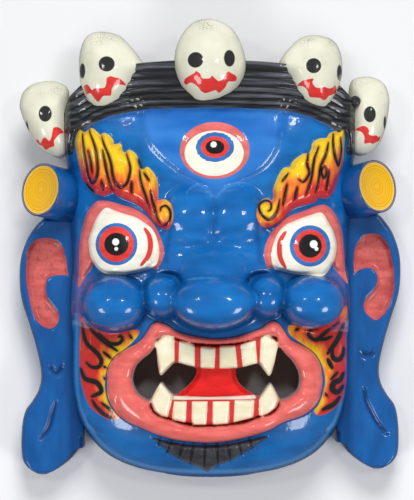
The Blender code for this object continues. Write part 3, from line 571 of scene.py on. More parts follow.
# %% [markdown]
# ## Carving the face
# Each step takes the height of the wood so far and returns it with one feature carved in: the
# band, the forehead, the eyes, the eyebrows, the nose and cheeks, the goatee and the mouth.

# %% Carving steps
def half_width(y):
    """Half the head's width at a height. The crown keeps its full width to the top."""
    edge = np.array(BLOCK_EDGE[::-1], dtype=float)
    wide = np.maximum(edge[:, 0], CHIN_HALF_WIDTH)
    wide[edge[:, 1] > CROWN_CORNER] = edge[:, 0].max()
    return np.interp(y, edge[:, 1], wide)


def head(x, y):
    """The plain head before carving: a shield that curves back to its sides and chin."""
    front = np.interp(y, *smooth_line(HEAD_PROFILE).T)
    across = np.clip(np.abs(x) / half_width(y), 0, 1)
    curve = np.sqrt(1 - across ** HEAD_SQUARENESS)
    crown = step_up((y - CROWN_FROM) / CROWN_SPAN)
    edge = HEAD_EDGE_HEIGHT + (CROWN_EDGE_HEIGHT - HEAD_EDGE_HEIGHT) * crown
    return edge + (front - edge) * curve


def above_band_edge(x, y):
    """How far each point lies above the band's lower edge, counted round its corners."""
    inside = inside_by(x, y, BAND, rounded=False)
    return np.where(y > CROWN_CORNER, np.maximum(inside, distance_to_line(x, y, BAND[1:-3])), inside)


def carve_band(x, y, z):
    inside = above_band_edge(x, y)
    z = z + BAND_RELIEF * step_up(inside / 2)
    for groove in BAND_GROOVES:
        z = z - BAND_GROOVE_DEPTH * bump(inside - groove, BAND_GROOVE_WIDTH)
    return z


def carve_forehead(x, y, z):
    inside = inside_by(x, y, FOREHEAD)
    z = z + FOREHEAD_RELIEF * step_up(inside / FOREHEAD_SLOPE)
    fading = step_up((HAIRLINE_TOP - y) / 12)
    z = z + HAIRLINE_RIDGE * fading * bump(inside - FOREHEAD_SLOPE / 2, 1.2)
    dome = np.clip(inside_oval(x, y, THIRD_LID) / THIRD_EYE_SLOPE, 0, 1)
    return z + THIRD_EYE_RELIEF * np.sqrt(dome)


def carve_eye(x, y, z, lid, white, middle):
    roll = inside_by(x, y, lid)
    within = inside_by(x, y, white)
    z = z + LID_RELIEF * np.sqrt(step_up(roll / 4)) * (1 - step_up(within / 2.5))
    away = np.hypot(x - middle[0], y - middle[1])
    globe = EYEBALL_RELIEF * np.sqrt(np.clip(1 - (away / EYEBALL_RADIUS) ** 2, 0, 1))
    return z + globe * step_up((within + 0.5) / 3)


def carve_brow(x, y, z, outline):
    inside = inside_by(x, y, outline)
    z = z + BROW_RELIEF * np.sqrt(step_up(inside / 6))
    return z + BROW_CROWN * step_up((inside - 3) / 8)


def carve_nose_and_cheeks(x, y, z):
    for centre, radii, flatness, fillet in FROWN_FORMS:
        z = melt(z, ball(x, y, centre, radii, flatness), fillet)
    z = z - FROWN_DEPTH * bump(distance_to_line(x, y, smooth_line(FROWN_LINE)), FROWN_WIDTH)
    for fold in FROWN_FOLDS:
        z = z - FOLD_DEPTH * bump(distance_to_line(x, y, smooth_line(fold)), FOLD_WIDTH)
    for centre, radii, flatness, fillet in NOSE_AND_CHEEKS:
        z = melt(z, ball(x, y, centre, radii, flatness), fillet)
    for groove in NOSTRIL_GROOVES:
        cut = brush_line(x, y, groove, 3, 0.2)
        z = z - NOSTRIL_DEPTH * step_up((cut + 0.5) / NOSTRIL_SLOPE)
    return z


def carve_goatee(x, y, z):
    z = z + GOATEE_RELIEF * np.sqrt(step_up(inside_by(x, y, GOATEE) / 3))
    for line in GOATEE_LINES:
        z = z - COMB_DEPTH * bump(distance_to_line(x, y, line), COMB_WIDTH)
    return z


def raised_teeth(x, y):
    """Square teeth with sharp edges, on a lower gum that shows between them."""
    raised = LEDGE_RELIEF * step_up((inside_by(x, y, LOWER_LEDGE, False) + 0.5) / 1.5)
    for gum in (UPPER_GUM, LOWER_GUM):
        ledge = step_up((inside_by(x, y, gum, False) + 1) / 1.5)
        raised = np.maximum(raised, (TOOTH_RELIEF - GUM_BELOW_TEETH) * ledge)
    for tooth in TEETH:
        inside = inside_by(x, y, tooth, False)
        raised = np.maximum(raised, TOOTH_RELIEF * step_up((inside + 0.7) / 1.4)
                            + 0.8 * step_up(inside / 5))
    for ridge in FANG_RIDGES:
        raised = raised + FANG_RIDGE * np.clip(1 - distance_to_line(x, y, ridge) / 8, 0, 1)
    return raised


def carve_mouth(x, y, z):
    from_outside = inside_by(x, y, LIP_OUTSIDE)
    from_inside = inside_by(x, y, LIP_INSIDE)
    floor = head(x, y) - MOUTH_DEPTH
    width = np.maximum(from_outside - from_inside, 1e-6)
    roll = (from_outside + from_inside) / width
    fullness = np.clip(width / FULL_LIP, 0, 1)
    lip = head(x, y) + LIP_RELIEF * fullness * np.clip(1 - roll ** 2, 0, 1) ** 0.4
    on_lip = (from_outside > 0) & (from_inside < 0)
    z = np.where(on_lip, np.maximum(lip, np.where(roll < 0, z, floor)), z)
    z = np.where(from_inside >= 0, floor, z)
    mouth = z + TONGUE_RELIEF * step_up(inside_by(x, y, TONGUE) / 5)
    mouth = np.maximum(mouth, floor + raised_teeth(x, y))
    return np.where(from_inside > -3, np.maximum(mouth, z), z)


def face(x, y):
    """Height of the finished front of the block."""
    z = carve_forehead(x, y, carve_band(x, y, head(x, y)))
    z = carve_eye(x, y, z, LEFT_LID, LEFT_WHITE, IRISES[0][0])
    z = carve_eye(x, y, z, RIGHT_LID, RIGHT_WHITE, IRISES[1][0])
    z = carve_brow(x, y, z, LEFT_BROW)
    z = carve_brow(x, y, z, RIGHT_BROW)
    on_brows = step_up(np.maximum(inside_by(x, y, LEFT_BROW), inside_by(x, y, RIGHT_BROW)) + 0.5)
    for line in BROW_LINES:
        z = z - LOCK_DEPTH * on_brows * step_up((brush_line(x, y, line, 1.5) + 0.8) / 1.6)
    z = carve_nose_and_cheeks(x, y, z)
    return carve_mouth(x, y, carve_goatee(x, y, z))


# %% [markdown]
# ## From sheet to block
# A square sheet is pulled out to the block's outline and raised to the carved height. It is made
# finer where thin lines are cut, its edge is drawn down to the back, and the hollow and the two
# gaps of the mouth are cut out of it.

# %% Sheets and cutting tools
def reach_of(outline, centre, angle):
    """How far a closed outline lies from a point inside it, in each direction."""
    loop = smooth_loop(outline, 8) - centre
    angles = np.arctan2(loop[:, 1], loop[:, 0])
    order = np.argsort(angles)
    reach = np.hypot(loop[:, 0], loop[:, 1])
    return np.interp(angle, angles[order], reach[order], period=2 * math.pi)


def block_radius(angle, inset):
    right = np.array(BLOCK_EDGE, dtype=float)
    left = right[-2:0:-1] * (-1, 1)
    return reach_of(np.vstack([right, left]), BLOCK_CENTRE, angle) - inset


def places(bm):
    return np.array([vert.co[:] for vert in bm.verts]).T


def put(bm, x, y, z):
    for vert, place in zip(bm.verts, zip(x, y, z)):
        vert.co = place


def pull_to_shield(bm, inset):
    """Pulls a square sheet of half size 1 out to the block's outline."""
    u, v, _ = places(bm)
    disc_x, disc_y = u * np.sqrt(1 - v * v / 2), v * np.sqrt(1 - u * u / 2)
    angle = np.arctan2(disc_y, disc_x)
    out = np.hypot(disc_x, disc_y) * block_radius(angle, inset)
    put(bm, BLOCK_CENTRE[0] + out * np.cos(angle), BLOCK_CENTRE[1] + out * np.sin(angle), 0 * u)


def refine(bm, wanted):
    """Halves the mesh wherever wanted(x, y) says so."""
    x, y = np.array([sheet.calc_center_median()[:2] for sheet in bm.faces]).T
    chosen = [sheet for sheet, fine in zip(bm.faces, wanted(x, y)) if fine]
    edges = list({edge for sheet in chosen for edge in sheet.edges})
    bmesh.ops.subdivide_edges(bm, edges=edges, cuts=1, use_grid_fill=True)


def close_below(bm, depth):
    """Draws a sheet's edge straight down to a depth and closes the underside."""
    rim = [edge for edge in bm.edges if edge.is_boundary]
    for made in bmesh.ops.extrude_edge_only(bm, edges=rim)["geom"]:
        if isinstance(made, bmesh.types.BMVert):
            made.co.z = depth
    bmesh.ops.contextual_create(bm, geom=[edge for edge in bm.edges if edge.is_boundary])
    bmesh.ops.recalc_face_normals(bm, faces=bm.faces)


def as_object(bm, name, scale=UNIT):
    bmesh.ops.scale(bm, vec=(scale, scale, scale), verts=bm.verts)
    mesh = bpy.data.meshes.new(name)
    bm.to_mesh(mesh)
    bm.free()
    made = bpy.data.objects.new(name, mesh)
    bpy.context.scene.collection.objects.link(made)
    return made


def cut_away(target, tools):
    """Cuts the tools out of the target for good and clears the tools away."""
    for tool in tools:
        step = target.modifiers.new(tool.name, "BOOLEAN")
        step.operation = "DIFFERENCE"
        step.solver = "MANIFOLD"
        step.object = tool
    seen = target.evaluated_get(bpy.context.evaluated_depsgraph_get())
    finished = bpy.data.meshes.new_from_object(seen)
    target.modifiers.clear()
    target.data = finished
    for tool in tools:
        bpy.data.objects.remove(tool, do_unlink=True)


def prism(outline, low, high):
    bm = bmesh.new()
    base = bm.faces.new([bm.verts.new((x, y, low)) for x, y in smooth_loop(outline, 3)])
    drawn = bmesh.ops.extrude_face_region(bm, geom=[base])["geom"]
    bmesh.ops.translate(bm, vec=(0, 0, high - low),
                        verts=[g for g in drawn if isinstance(g, bmesh.types.BMVert)])
    bmesh.ops.recalc_face_normals(bm, faces=bm.faces)
    return bm


# %% [markdown]
# The hollow follows the head at the thickness of the face wall. Its roof keeps the shallow
# scallops that a wide gouge leaves.

# %% The face block
ALL_LINES = BROW_LINES + [line for line, _ in FLAME_LINES]


def has_detail(x, y):
    shapes = [LEFT_BROW, RIGHT_BROW, LEFT_LID, RIGHT_LID, LIP_OUTSIDE, GOATEE] + FLAMES
    return most(inside_by(x, y, shape) for shape in shapes) > -2


def has_fine_lines(x, y):
    return most(brush_line(x, y, line, 2.2) for line in ALL_LINES) > 0


def gouged_roof(x, y):
    scallops = np.abs(np.sin(x / 4.2 + 1.3 * np.sin(y / 23))) + 0.5 * np.sin(y / 9 + x / 31)
    return np.maximum(head(x, y) - FACE_WALL, LOWEST_ROOF) - SCALLOP_DEPTH * scallops


def shield_grid(step):
    bm = bmesh.new()
    bmesh.ops.create_grid(bm, x_segments=round(BLOCK_WIDTH / step),
                          y_segments=round(BLOCK_LENGTH / step), size=1)
    return bm


front = shield_grid(FACE_STEP)
pull_to_shield(front, 0)
refine(front, has_detail)
refine(front, has_fine_lines)
x, y, _ = places(front)
put(front, x, y, face(x, y))
bmesh.ops.smooth_vert(front, verts=[v for v in front.verts if not v.is_boundary], factor=0.4,
                      use_axis_z=True)
close_below(front, 0)
mask_face = as_object(front, "mask_face")

room = shield_grid(HOLLOW_STEP)
pull_to_shield(room, RIM_WALL)
x, y, _ = places(room)
put(room, x, y, gouged_roof(x, y))
close_below(room, BELOW_THE_RIM)
gaps = [as_object(prism(hole, CUT_FROM, CUT_TO), "mouth_gap") for hole in MOUTH_HOLES]
cut_away(mask_face, [as_object(room, "room_behind")] + gaps)
print("mask_face", len(mask_face.data.polygons), "faces")

# %% [markdown]
# ## Ears
# The ears, plugs, knob and skulls belong to the same block on the real mask. Here each is its own
# closed mesh, sunk a little into its neighbours. An ear is a sheet drawn to its outline, rolled
# at its edge and sunk where the pink hollow is.

# %% Ears
def ear(side):
    """A long-lobed ear: a slab with a rolled edge around a sunk hollow."""
    bm = bmesh.new()
    bmesh.ops.create_grid(bm, x_segments=50, y_segments=190, size=1)
    u, v, _ = places(bm)
    y = EAR_BOTTOM + (EAR_TOP - EAR_BOTTOM) * (1 + np.sin(v * math.pi / 2)) / 2
    outer = np.interp(y, *smooth_line(EAR_OUTER)[::-1].T)
    inner = np.interp(y, *smooth_line(EAR_INNER)[::-1].T)
    x = outer + (inner - outer) * (u + 1) / 2
    edge = np.minimum(x - outer, np.minimum(EAR_TOP - y, y - EAR_BOTTOM))
    edge = np.minimum(edge, np.where(y < LOBE_FROM, inner - x, edge))
    rounded = (1 - np.clip(1 - edge / EAR_ROLL, 0, 1) ** 2) ** 0.5
    z = EAR_THICKNESS * (EAR_EDGE_SHARE + (1 - EAR_EDGE_SHARE) * rounded)
    x, y = -side * x, y + (RIGHT_EAR_RISE if side > 0 else 0)
    z = z - EAR_HOLLOW_DEPTH * step_up(inside_by(x, y, EAR_HOLLOWS[side]) / 3)
    for crease in EAR_CREASES[side]:
        z = z - EAR_CREASE_DEPTH * step_up((brush_line(x, y, crease, 2.2) + 1.2) / 2.2)
    put(bm, x, y, z)
    close_below(bm, 0)
    return bm


left_ear = as_object(ear(-1), "left_ear")
right_ear = as_object(ear(1), "right_ear")
print("ears", len(left_ear.data.polygons) * 2, "faces")

# %% [markdown]
# ## Plugs and knob
# A plug is turned on a lathe, so it is a cylinder with a small bevel and a shallow step round its
# end. It leans outwards. The knob beside the far right skull is a plain ball.

# %% Plugs and knob
def plug(centre, side):
    """A short cylinder with a small bevel, its end turned outwards."""
    bm = bmesh.new()
    bmesh.ops.create_cone(bm, cap_ends=True, segments=96, radius1=PLUG_DIAMETER / 2,
                          radius2=PLUG_DIAMETER / 2, depth=PLUG_LENGTH,
                          matrix=Matrix.Translation((0, 0, -PLUG_LENGTH / 2)))
    cap = next(end for end in bm.faces if len(end.verts) > 4 and end.normal.z > 0.5)
    bmesh.ops.bevel(bm, geom=list(cap.edges), offset=0.9, segments=3, profile=0.5,
                    affect="EDGES", material=-1)
    cap = max(bm.faces, key=lambda end: end.calc_center_median().z)
    bmesh.ops.inset_individual(bm, faces=[cap], thickness=0.6, depth=0)
    bmesh.ops.inset_individual(bm, faces=[cap], thickness=0.8, depth=-0.7)
    bmesh.ops.poke(bm, faces=[cap])
    turn = Euler((0, side * PLUG_TURN, side * PLUG_LIFT)).to_matrix().to_4x4()
    bmesh.ops.transform(bm, matrix=Matrix.Translation(Vector(centre)) @ turn, verts=bm.verts)
    return bm


def plug_axis(side):
    """The way a plug's painted end faces."""
    return np.array([side * math.sin(PLUG_TURN) * math.cos(PLUG_LIFT),
                     math.sin(PLUG_TURN) * math.sin(PLUG_LIFT), math.cos(PLUG_TURN)])


left_plug, right_plug = [as_object(plug(*PLUG_CENTRES[k]), name)
                         for k, name in enumerate(["left_plug", "right_plug"])]
ball_knob = bmesh.new()
bmesh.ops.create_uvsphere(ball_knob, u_segments=32, v_segments=20, radius=KNOB_DIAMETER / 2,
                          matrix=Matrix.Translation(Vector(KNOB_PLACE)))
knob = as_object(ball_knob, "crown_knob")
print("plugs and knob made")

# %% [markdown]
# ## Skulls
# Each skull is a ball pulled out to its outline as the front shows it, because they were roughly
# cut and no two are alike.

# %% Skulls
def skull(outline, middle, depth):
    """An egg that fills an outline seen from the front."""
    bm = bmesh.new()
    bmesh.ops.create_uvsphere(bm, u_segments=180, v_segments=120, radius=1)
    x, y, z = places(bm)
    cx, cy = np.mean(outline, axis=0)
    angle = np.arctan2(y, x)
    out = np.hypot(x, y) * reach_of(outline, (cx, cy), angle)
    put(bm, cx + out * np.cos(angle), cy + out * np.sin(angle), middle + depth * z)
    return bm


skulls = {name: as_object(skull(*row[:3]), name) for name, row in SKULLS.items()}
print("skulls", sum(len(thing.data.polygons) for thing in skulls.values()), "faces")

# %% [markdown]
# ## Where each colour goes
# Every colour has a field on the mesh: how many millimetres a point lies inside that colour's
# outline. The paint below turns each field into a crisp brushed edge.

# %% Paint fields
def units_of(thing):
    co = np.zeros(len(thing.data.vertices) * 3)
    thing.data.vertices.foreach_get("co", co)
    return co.reshape(-1, 3).T / UNIT


def field(thing, name, values):
    layer = thing.data.attributes.new(name, "FLOAT", "POINT")
    layer.data.foreach_set("value", np.asarray(values, dtype=np.float32))


def rings(x, y):
    """0 to 1 in a pupil, 1 to 2 in its red ring, 2 to 3 in its blue ring, more outside."""
    found = np.full(x.shape, 9.0)
    for (cx, cy), *sizes in IRISES:
        edges = [np.hypot((x - cx) / rx, (y - cy) / ry) for rx, ry in sizes]
        ring = np.where(edges[0] < 1, edges[0], 1 + (edges[0] - 1) / (edges[0] / edges[1] - 1))
        ring = np.where(edges[1] < 1, ring, 2 + (edges[1] - 1) / (edges[1] / edges[2] - 1))
        found = np.minimum(found, np.where(edges[2] < 1, np.clip(ring, 0, 3), 2 + edges[2]))
    return found


BROW_BLEND = 34
ALL_BAND_ABOVE = 126
JAW_BELOW, CHIN_BELOW = -55, -130
NOWHERE = -9


def redness(x, y):
    """0 where a flame is yellow, 1 where it is red."""
    left = (LEFT_BROW, (-105, 60), (-34, 30), (-39, 29))
    right = (RIGHT_BROW, (110, 60), (44, 26), (49, 31))
    found = np.zeros(x.shape)
    for outline, a, b, curl in (left, right):
        lower = (b[1] - a[1]) / (b[0] - a[0]) * (x - a[0]) + a[1]
        share = 1.22 - (y - lower + 8) / BROW_BLEND
        share = share - 0.75 * bump(np.hypot(x - curl[0], y - curl[1]), 13)
        found = np.where(inside_by(x, y, outline) > -3, share, found)
    for outline, side in ((FLAMES[0], -1), (FLAMES[1], 1)):
        from_lips = -inside_by(x, y, LIP_OUTSIDE)
        share = from_lips / np.clip(16 + 0.12 * (y + 75), 8, 16) + 0.12 * np.sin(y / 6.5 + side)
        found = np.where(inside_by(x, y, outline) > -3, share, found)
    return found


x, y, z = units_of(mask_face)
inside = above_band_edge(x, y)
field(mask_face, "band", inside + 1000 * (y > ALL_BAND_ABOVE))
# Painted shade: the band is painted blackest along its grooves.
field(mask_face, "groove", most(BAND_GROOVE_WIDTH - np.abs(inside - groove)
                                for groove in BAND_GROOVES))
field(mask_face, "lid", most([inside_by(x, y, LEFT_LID), inside_by(x, y, RIGHT_LID),
                              inside_oval(x, y, THIRD_LID)]))
field(mask_face, "white", most([inside_by(x, y, LEFT_WHITE), inside_by(x, y, RIGHT_WHITE),
                                inside_oval(x, y, THIRD_WHITE)]))
field(mask_face, "rings", rings(x, y))
field(mask_face, "glint", most(inside_oval(x, y, (c, (r, r))) for c, r in GLINTS))
field(mask_face, "crescent", most(brush_line(x, y, line, 2.3) for line in CRESCENTS))
fire = most(inside_by(x, y, shape) for shape in [LEFT_BROW, RIGHT_BROW] + FLAMES)
field(mask_face, "fire", fire)
field(mask_face, "redness", redness(x, y))
ink = most([most(brush_line(x, y, line, 1.2) for line in BROW_LINES),
            most(brush_line(x, y, line, w + 0.3) for line, w in FLAME_LINES)])
field(mask_face, "ink", np.minimum(ink, fire + 0.6))
field(mask_face, "lip", inside_by(x, y, LIP_OUTSIDE))
field(mask_face, "mouth", inside_by(x, y, LIP_INSIDE))
field(mask_face, "gum", most(inside_by(x, y, gum, False) for gum in (UPPER_GUM, LOWER_GUM)))
field(mask_face, "ledge", inside_by(x, y, LOWER_LEDGE, False))
field(mask_face, "tooth", most(inside_by(x, y, tooth, False) for tooth in TEETH))
field(mask_face, "tongue", inside_by(x, y, TONGUE))
field(mask_face, "goatee", inside_by(x, y, GOATEE))
field(mask_face, "combing", most(brush_line(x, y, line, 1.0) for line in GOATEE_LINES))
forehead = np.where(y < 112, inside_by(x, y, FOREHEAD), 10)
field(mask_face, "forehead", forehead)
# Painted shade: a deeper blue in the nostril grooves and the shaded creases.
crease_shade = most(brush_line(x, y, groove, 1.5) for groove in NOSTRIL_GROOVES)
crease_shade = most([crease_shade] + [brush_line(x, y, line, w, 0.3) for line, w in SHADED_CREASES])
# Painted highlight: a paler blue along the crests of the brow pads and the nose, and along the
# forehead's edge.
crest_highlights = most(brush_line(x, y, line, 0.9) for line in PAINTED_HIGHLIGHT_CRESTS)
hairline_highlight = np.where(y < 104, 0.8 - np.abs(forehead - 1.5), NOWHERE)
field(mask_face, "crest_highlight", np.maximum(crest_highlights, hairline_highlight))
from_centre = np.hypot(x - BLOCK_CENTRE[0], y - BLOCK_CENTRE[1])
from_edge = block_radius(np.arctan2(y - BLOCK_CENTRE[1], x - BLOCK_CENTRE[0]), 0) - from_centre
# Painted shade: a deeper blue round the foot of the cheeks and the nose, along the chin's edge and
# along the sides beside the eyes.
in_rounds = most(inside_oval(x, y, (middle[:2], half_sizes[:2]))
                 for middle, half_sizes, _, _ in NOSE_AND_CHEEKS)
around = 2.6 - np.abs(in_rounds + 1)
around = np.where((np.abs(x - 3) < 36) & (y > -48), NOWHERE, around)
round_the_chin = np.where(y < CHIN_BELOW, 7 - from_edge, NOWHERE)
beside_the_eyes = np.where((y > -62) & (y < 40), 6 - from_edge, NOWHERE)
field(mask_face, "shade", most([crease_shade, around, round_the_chin, beside_the_eyes]))
# Painted highlight: a paler blue line just inside the jaw's edge.
jaw_edge_highlight = np.where(y < JAW_BELOW, 2.0 - np.abs(from_edge - 5.5), NOWHERE)
field(mask_face, "jaw_edge_highlight", jaw_edge_highlight)

for thing, side in ((left_ear, -1), (right_ear, 1)):
    x, y, z = units_of(thing)
    field(thing, "hollow", inside_by(x, y, EAR_HOLLOWS[side]))
    # Painted shade: a deeper blue in the lobe creases and near the face, where the ear lies against
    # it.
    field(thing, "crease", most(brush_line(x, y, line, 1.5) for line in EAR_CREASES[side]))
    field(thing, "shade", 125.5 - np.abs(x))

for name, thing in skulls.items():
    x, y, z = units_of(thing)
    outline, middle, _, eyes, mouth = SKULLS[name]
    back = np.where(z < middle, -MARGIN, MARGIN)
    field(thing, "eye", np.minimum(back, most(inside_oval(x, y, eye) for eye in eyes)))
    field(thing, "mouth", np.minimum(back, inside_by(x, y, mouth)))
    lowest, highest = np.min(outline, axis=0)[1], np.max(outline, axis=0)[1]
    field(thing, "crown", 2 * (y - lowest) / (highest - lowest) - 1)

for thing, (centre, side) in zip((left_plug, right_plug), PLUG_CENTRES):
    away = units_of(thing) - np.array(centre)[:, None]
    along = plug_axis(side) @ away
    field(thing, "radius", np.linalg.norm(away - np.outer(plug_axis(side), along), axis=0))
print("fields on mask_face:", len(mask_face.data.attributes))

# %% [markdown]
# ## Paint
# Gloss enamel goes on thick and wet. It levels into a hard shine that is broken by brush marks
# and by the tool marks under it, so every highlight has a ragged edge. The colour is a little
# thinner or thicker from stroke to stroke, and creases that the brush missed shine less.

# %% Node tools
def srgb(code):
    """A colour written as #rrggbb, in the linear values that the shader wants."""
    parts = [int(code[k:k + 2], 16) / 255 for k in (1, 3, 5)]
    return tuple(p / 12.92 if p <= 0.04045 else ((p + 0.055) / 1.055) ** 2.4 for p in parts) + (1,)


def add(tree, kind, sockets=(), **settings):
    """Adds a node, applies its settings and fills its sockets with values or links."""
    node = tree.nodes.new("ShaderNode" + kind)
    for name, value in settings.items():
        setattr(node, name, value)
    for name, value in dict(sockets).items():
        if isinstance(value, bpy.types.NodeSocket):
            tree.links.new(value, node.inputs[name])
        else:
            node.inputs[name].default_value = value
    return node


def blend(tree, share, below, above):
    return add(tree, "Mix", {0: share, 6: below, 7: above}, data_type="RGBA").outputs[2]


def reading(tree, name):
    return add(tree, "Attribute", attribute_name=name).outputs["Fac"]


def spread(tree, value, low, high, to_low=0.0, to_high=1.0):
    return add(tree, "MapRange", {0: value, 1: low, 2: high, 3: to_low, 4: to_high}).outputs[0]


def mottle(tree, scale, stretch=(1, 1, 1), detail=2.0):
    """Noise over the piece. The scale is in spots to the metre."""
    where = add(tree, "Mapping", {0: add(tree, "TexCoord").outputs["Object"], 3: stretch})
    return add(tree, "TexNoise", {0: where.outputs[0], "Scale": scale, "Detail": detail},
               noise_dimensions="3D").outputs[0]


def over(tree, below, colour, name, edge=0.0, soft=0.3, wobble=None):
    """Lays a colour over what is below it wherever the named field is above the edge."""
    value = reading(tree, name)
    if wobble is not None:
        value = add(tree, "Math", {0: value, 1: wobble}, operation="ADD").outputs[0]
    return blend(tree, spread(tree, value, edge - soft, edge + soft), below, colour)


def brushed(tree, dark, light, scale=60, across=(1, 3, 1)):
    """One enamel colour, a little uneven from stroke to stroke."""
    strokes = mottle(tree, scale, across)
    return blend(tree, spread(tree, strokes, 0.3, 0.7), srgb(dark), srgb(light))


def enamel(name, colour_of, roughness=0.3):
    """Gloss enamel on carved wood. colour_of builds the colour in the material's tree."""
    paint = bpy.data.materials.new(name)
    paint.use_nodes = True
    tree = paint.node_tree
    tree.nodes.clear()
    waves = mottle(tree, 60, (1, 1, 1), 2)
    marks = mottle(tree, 380, (1, 0.35, 1), 2)
    waving = add(tree, "Bump", {"Strength": 0.4, "Distance": 0.0005, "Height": waves})
    rough = add(tree, "Bump", {"Strength": 0.4, "Distance": 0.0003, "Height": marks,
                               "Normal": waving.outputs[0]})
    gloss = spread(tree, mottle(tree, 45), 0.3, 0.7, roughness * 0.7, roughness * 1.4)
    coat = spread(tree, reading(tree, "shade"), 0, 2, 0.7, 0.1)
    shader = add(tree, "BsdfPrincipled", {"Base Color": colour_of(tree), "Roughness": gloss,
                                          "IOR": 1.5, "Specular IOR Level": 0.2,
                                          "Coat Weight": coat, "Coat Roughness": 0.05,
                                          "Normal": rough.outputs[0],
                                          "Coat Normal": rough.outputs[0]})
    add(tree, "OutputMaterial", {0: shader.outputs[0]})
    return paint


# %% [markdown]
# ## Colours of the face
# The colours are laid over each other as the painter does it: the blues first, then the band, the
# eyes, the flames and the mouth, and the black strokes last.

# %% Colours of the face
INK = srgb("#1c1a1c")


def eye_colours(tree, below):
    colour = over(tree, below, brushed(tree, "#cc5e5a", "#e27670"), "lid")
    colour = over(tree, colour, brushed(tree, "#e6e2d0", "#f6f3e4"), "white")
    colour = over(tree, colour, srgb("#d8403c"), "crescent")
    ring = reading(tree, "rings")
    blue = spread(tree, ring, 3.02, 2.98)
    red = spread(tree, ring, 2.05, 1.95)
    black = spread(tree, ring, 1.05, 0.95)
    colour = blend(tree, blue, colour, brushed(tree, "#2a62a8", "#3f78bd"))
    colour = blend(tree, red, colour, brushed(tree, "#d2322e", "#ea4a42"))
    colour = blend(tree, black, colour, INK)
    return over(tree, colour, srgb("#fbfaf2"), "glint")


def fire_colours(tree, below):
    """Yellow runs through orange to red, blended wet."""
    streaks = spread(tree, mottle(tree, 90, (2, 0.7, 1)), 0.25, 0.75, -0.3, 0.3)
    value = add(tree, "Math", {0: reading(tree, "redness"), 1: streaks},
                operation="ADD").outputs[0]
    colour = blend(tree, spread(tree, value, 0.15, 0.5), srgb("#f3c619"), srgb("#f5842b"))
    colour = blend(tree, spread(tree, value, 0.5, 0.9), colour, srgb("#d02f2c"))
    colour = blend(tree, spread(tree, reading(tree, "ink"), -2.2, 0.4, 0, 0.6), colour,
                   srgb("#7c2418"))
    colour = over(tree, below, colour, "fire")
    return over(tree, colour, INK, "ink")


def mouth_colours(tree, below):
    colour = over(tree, below, srgb("#1d3552"), "lip", -0.8)
    colour = over(tree, colour, brushed(tree, "#da605b", "#ee756e"), "lip")
    # Painted shade: a darker red inside the lips, where the mouth goes in.
    colour = over(tree, colour, srgb("#c9403c"), "mouth", 0.6, 0.6)
    colour = over(tree, colour, brushed(tree, "#cf1718", "#e62824"), "tongue", -0.5)
    colour = over(tree, colour, brushed(tree, "#dcd6c8", "#efeadd"), "ledge")
    colour = over(tree, colour, brushed(tree, "#c22c2a", "#d23a36"), "gum", -0.3)
    return over(tree, colour, brushed(tree, "#e4dcb8", "#f0ead0"), "tooth", -0.2)


def shaded(tree, colour, low, high, share, deeper):
    """Works a second blue softly into the first wherever the field "shade" rises."""
    return blend(tree, spread(tree, reading(tree, "shade"), low, high, 0, share), colour, deeper)


def band_colours(tree):
    """Black, streaked grey on the ribs in long strokes as a painted sheen, and blackest in the
    grooves as painted shade.
    """
    painted_sheen_streaks = spread(tree, mottle(tree, 70, (0.3, 3.5, 1)), 0.45, 0.68, 0, 0.7)
    colour = blend(tree, painted_sheen_streaks, srgb("#28282c"), srgb("#666a72"))
    return over(tree, colour, srgb("#101012"), "groove", 0, 0.7)


def face_colours(tree):
    colour = brushed(tree, "#0a589c", "#1370bc", 25)
    colour = over(tree, colour, brushed(tree, "#105cb0", "#3884d2", 16), "forehead", 0, 6)
    # Painted shade: a deeper blue worked in wherever the shade field rises.
    colour = shaded(tree, colour, -2.5, 2.5, 0.65, srgb("#0b3568"))
    pale = srgb("#4f93d2")
    # Painted highlight: a paler blue on the crests.
    colour = blend(tree, spread(tree, reading(tree, "crest_highlight"), -0.5, 0.7, 0, 0.6), colour, pale)
    # Painted highlight: a paler blue along the jaw's edge.
    colour = blend(tree, spread(tree, reading(tree, "jaw_edge_highlight"), -1.5, 1.5, 0, 0.7), colour, pale)
    colour = over(tree, colour, band_colours(tree), "band", 0.4)
    colour = eye_colours(tree, colour)
    colour = fire_colours(tree, colour)
    colour = mouth_colours(tree, colour)
    colour = over(tree, colour, brushed(tree, "#2c2c32", "#46464e"), "goatee")
    return over(tree, colour, INK, "combing")


face_paint = enamel("gloss enamel brushed on the carved face", face_colours)
print(len(face_paint.node_tree.nodes), "nodes in the face paint")

# %% [markdown]
# ## Colours of the other pieces
# The pink in the ears is scratched, the yellow of the plugs went on in circles and the skulls'
# old white is crazed at the crown. The hollow stays bare alder, brown and matt beside the gloss,
# with its grain along the mask.

# %% Colours of the ears, plugs, skulls and the bare wood
def ear_colours(tree):
    colour = brushed(tree, "#0e4c8c", "#165ea4", 25, (3, 1, 1))
    # Painted shade: deeper blue near the face and in the creases.
    colour = shaded(tree, colour, -3, 3, 0.7, srgb("#0b3568"))
    colour = over(tree, colour, srgb("#0c3668"), "crease")
    pink = brushed(tree, "#bc5250", "#dc706a")
    scrawl = add(tree, "Math", {0: mottle(tree, 190, (1, 0.6, 1), 1), 1: 0.5},
                 operation="SUBTRACT").outputs[0]
    scrawl = add(tree, "Math", {0: scrawl}, operation="ABSOLUTE").outputs[0]
    pink = blend(tree, spread(tree, scrawl, 0.02, 0.008, 0, 0.5), pink, srgb("#8f3c38"))
    return over(tree, colour, pink, "hollow", 0.4)


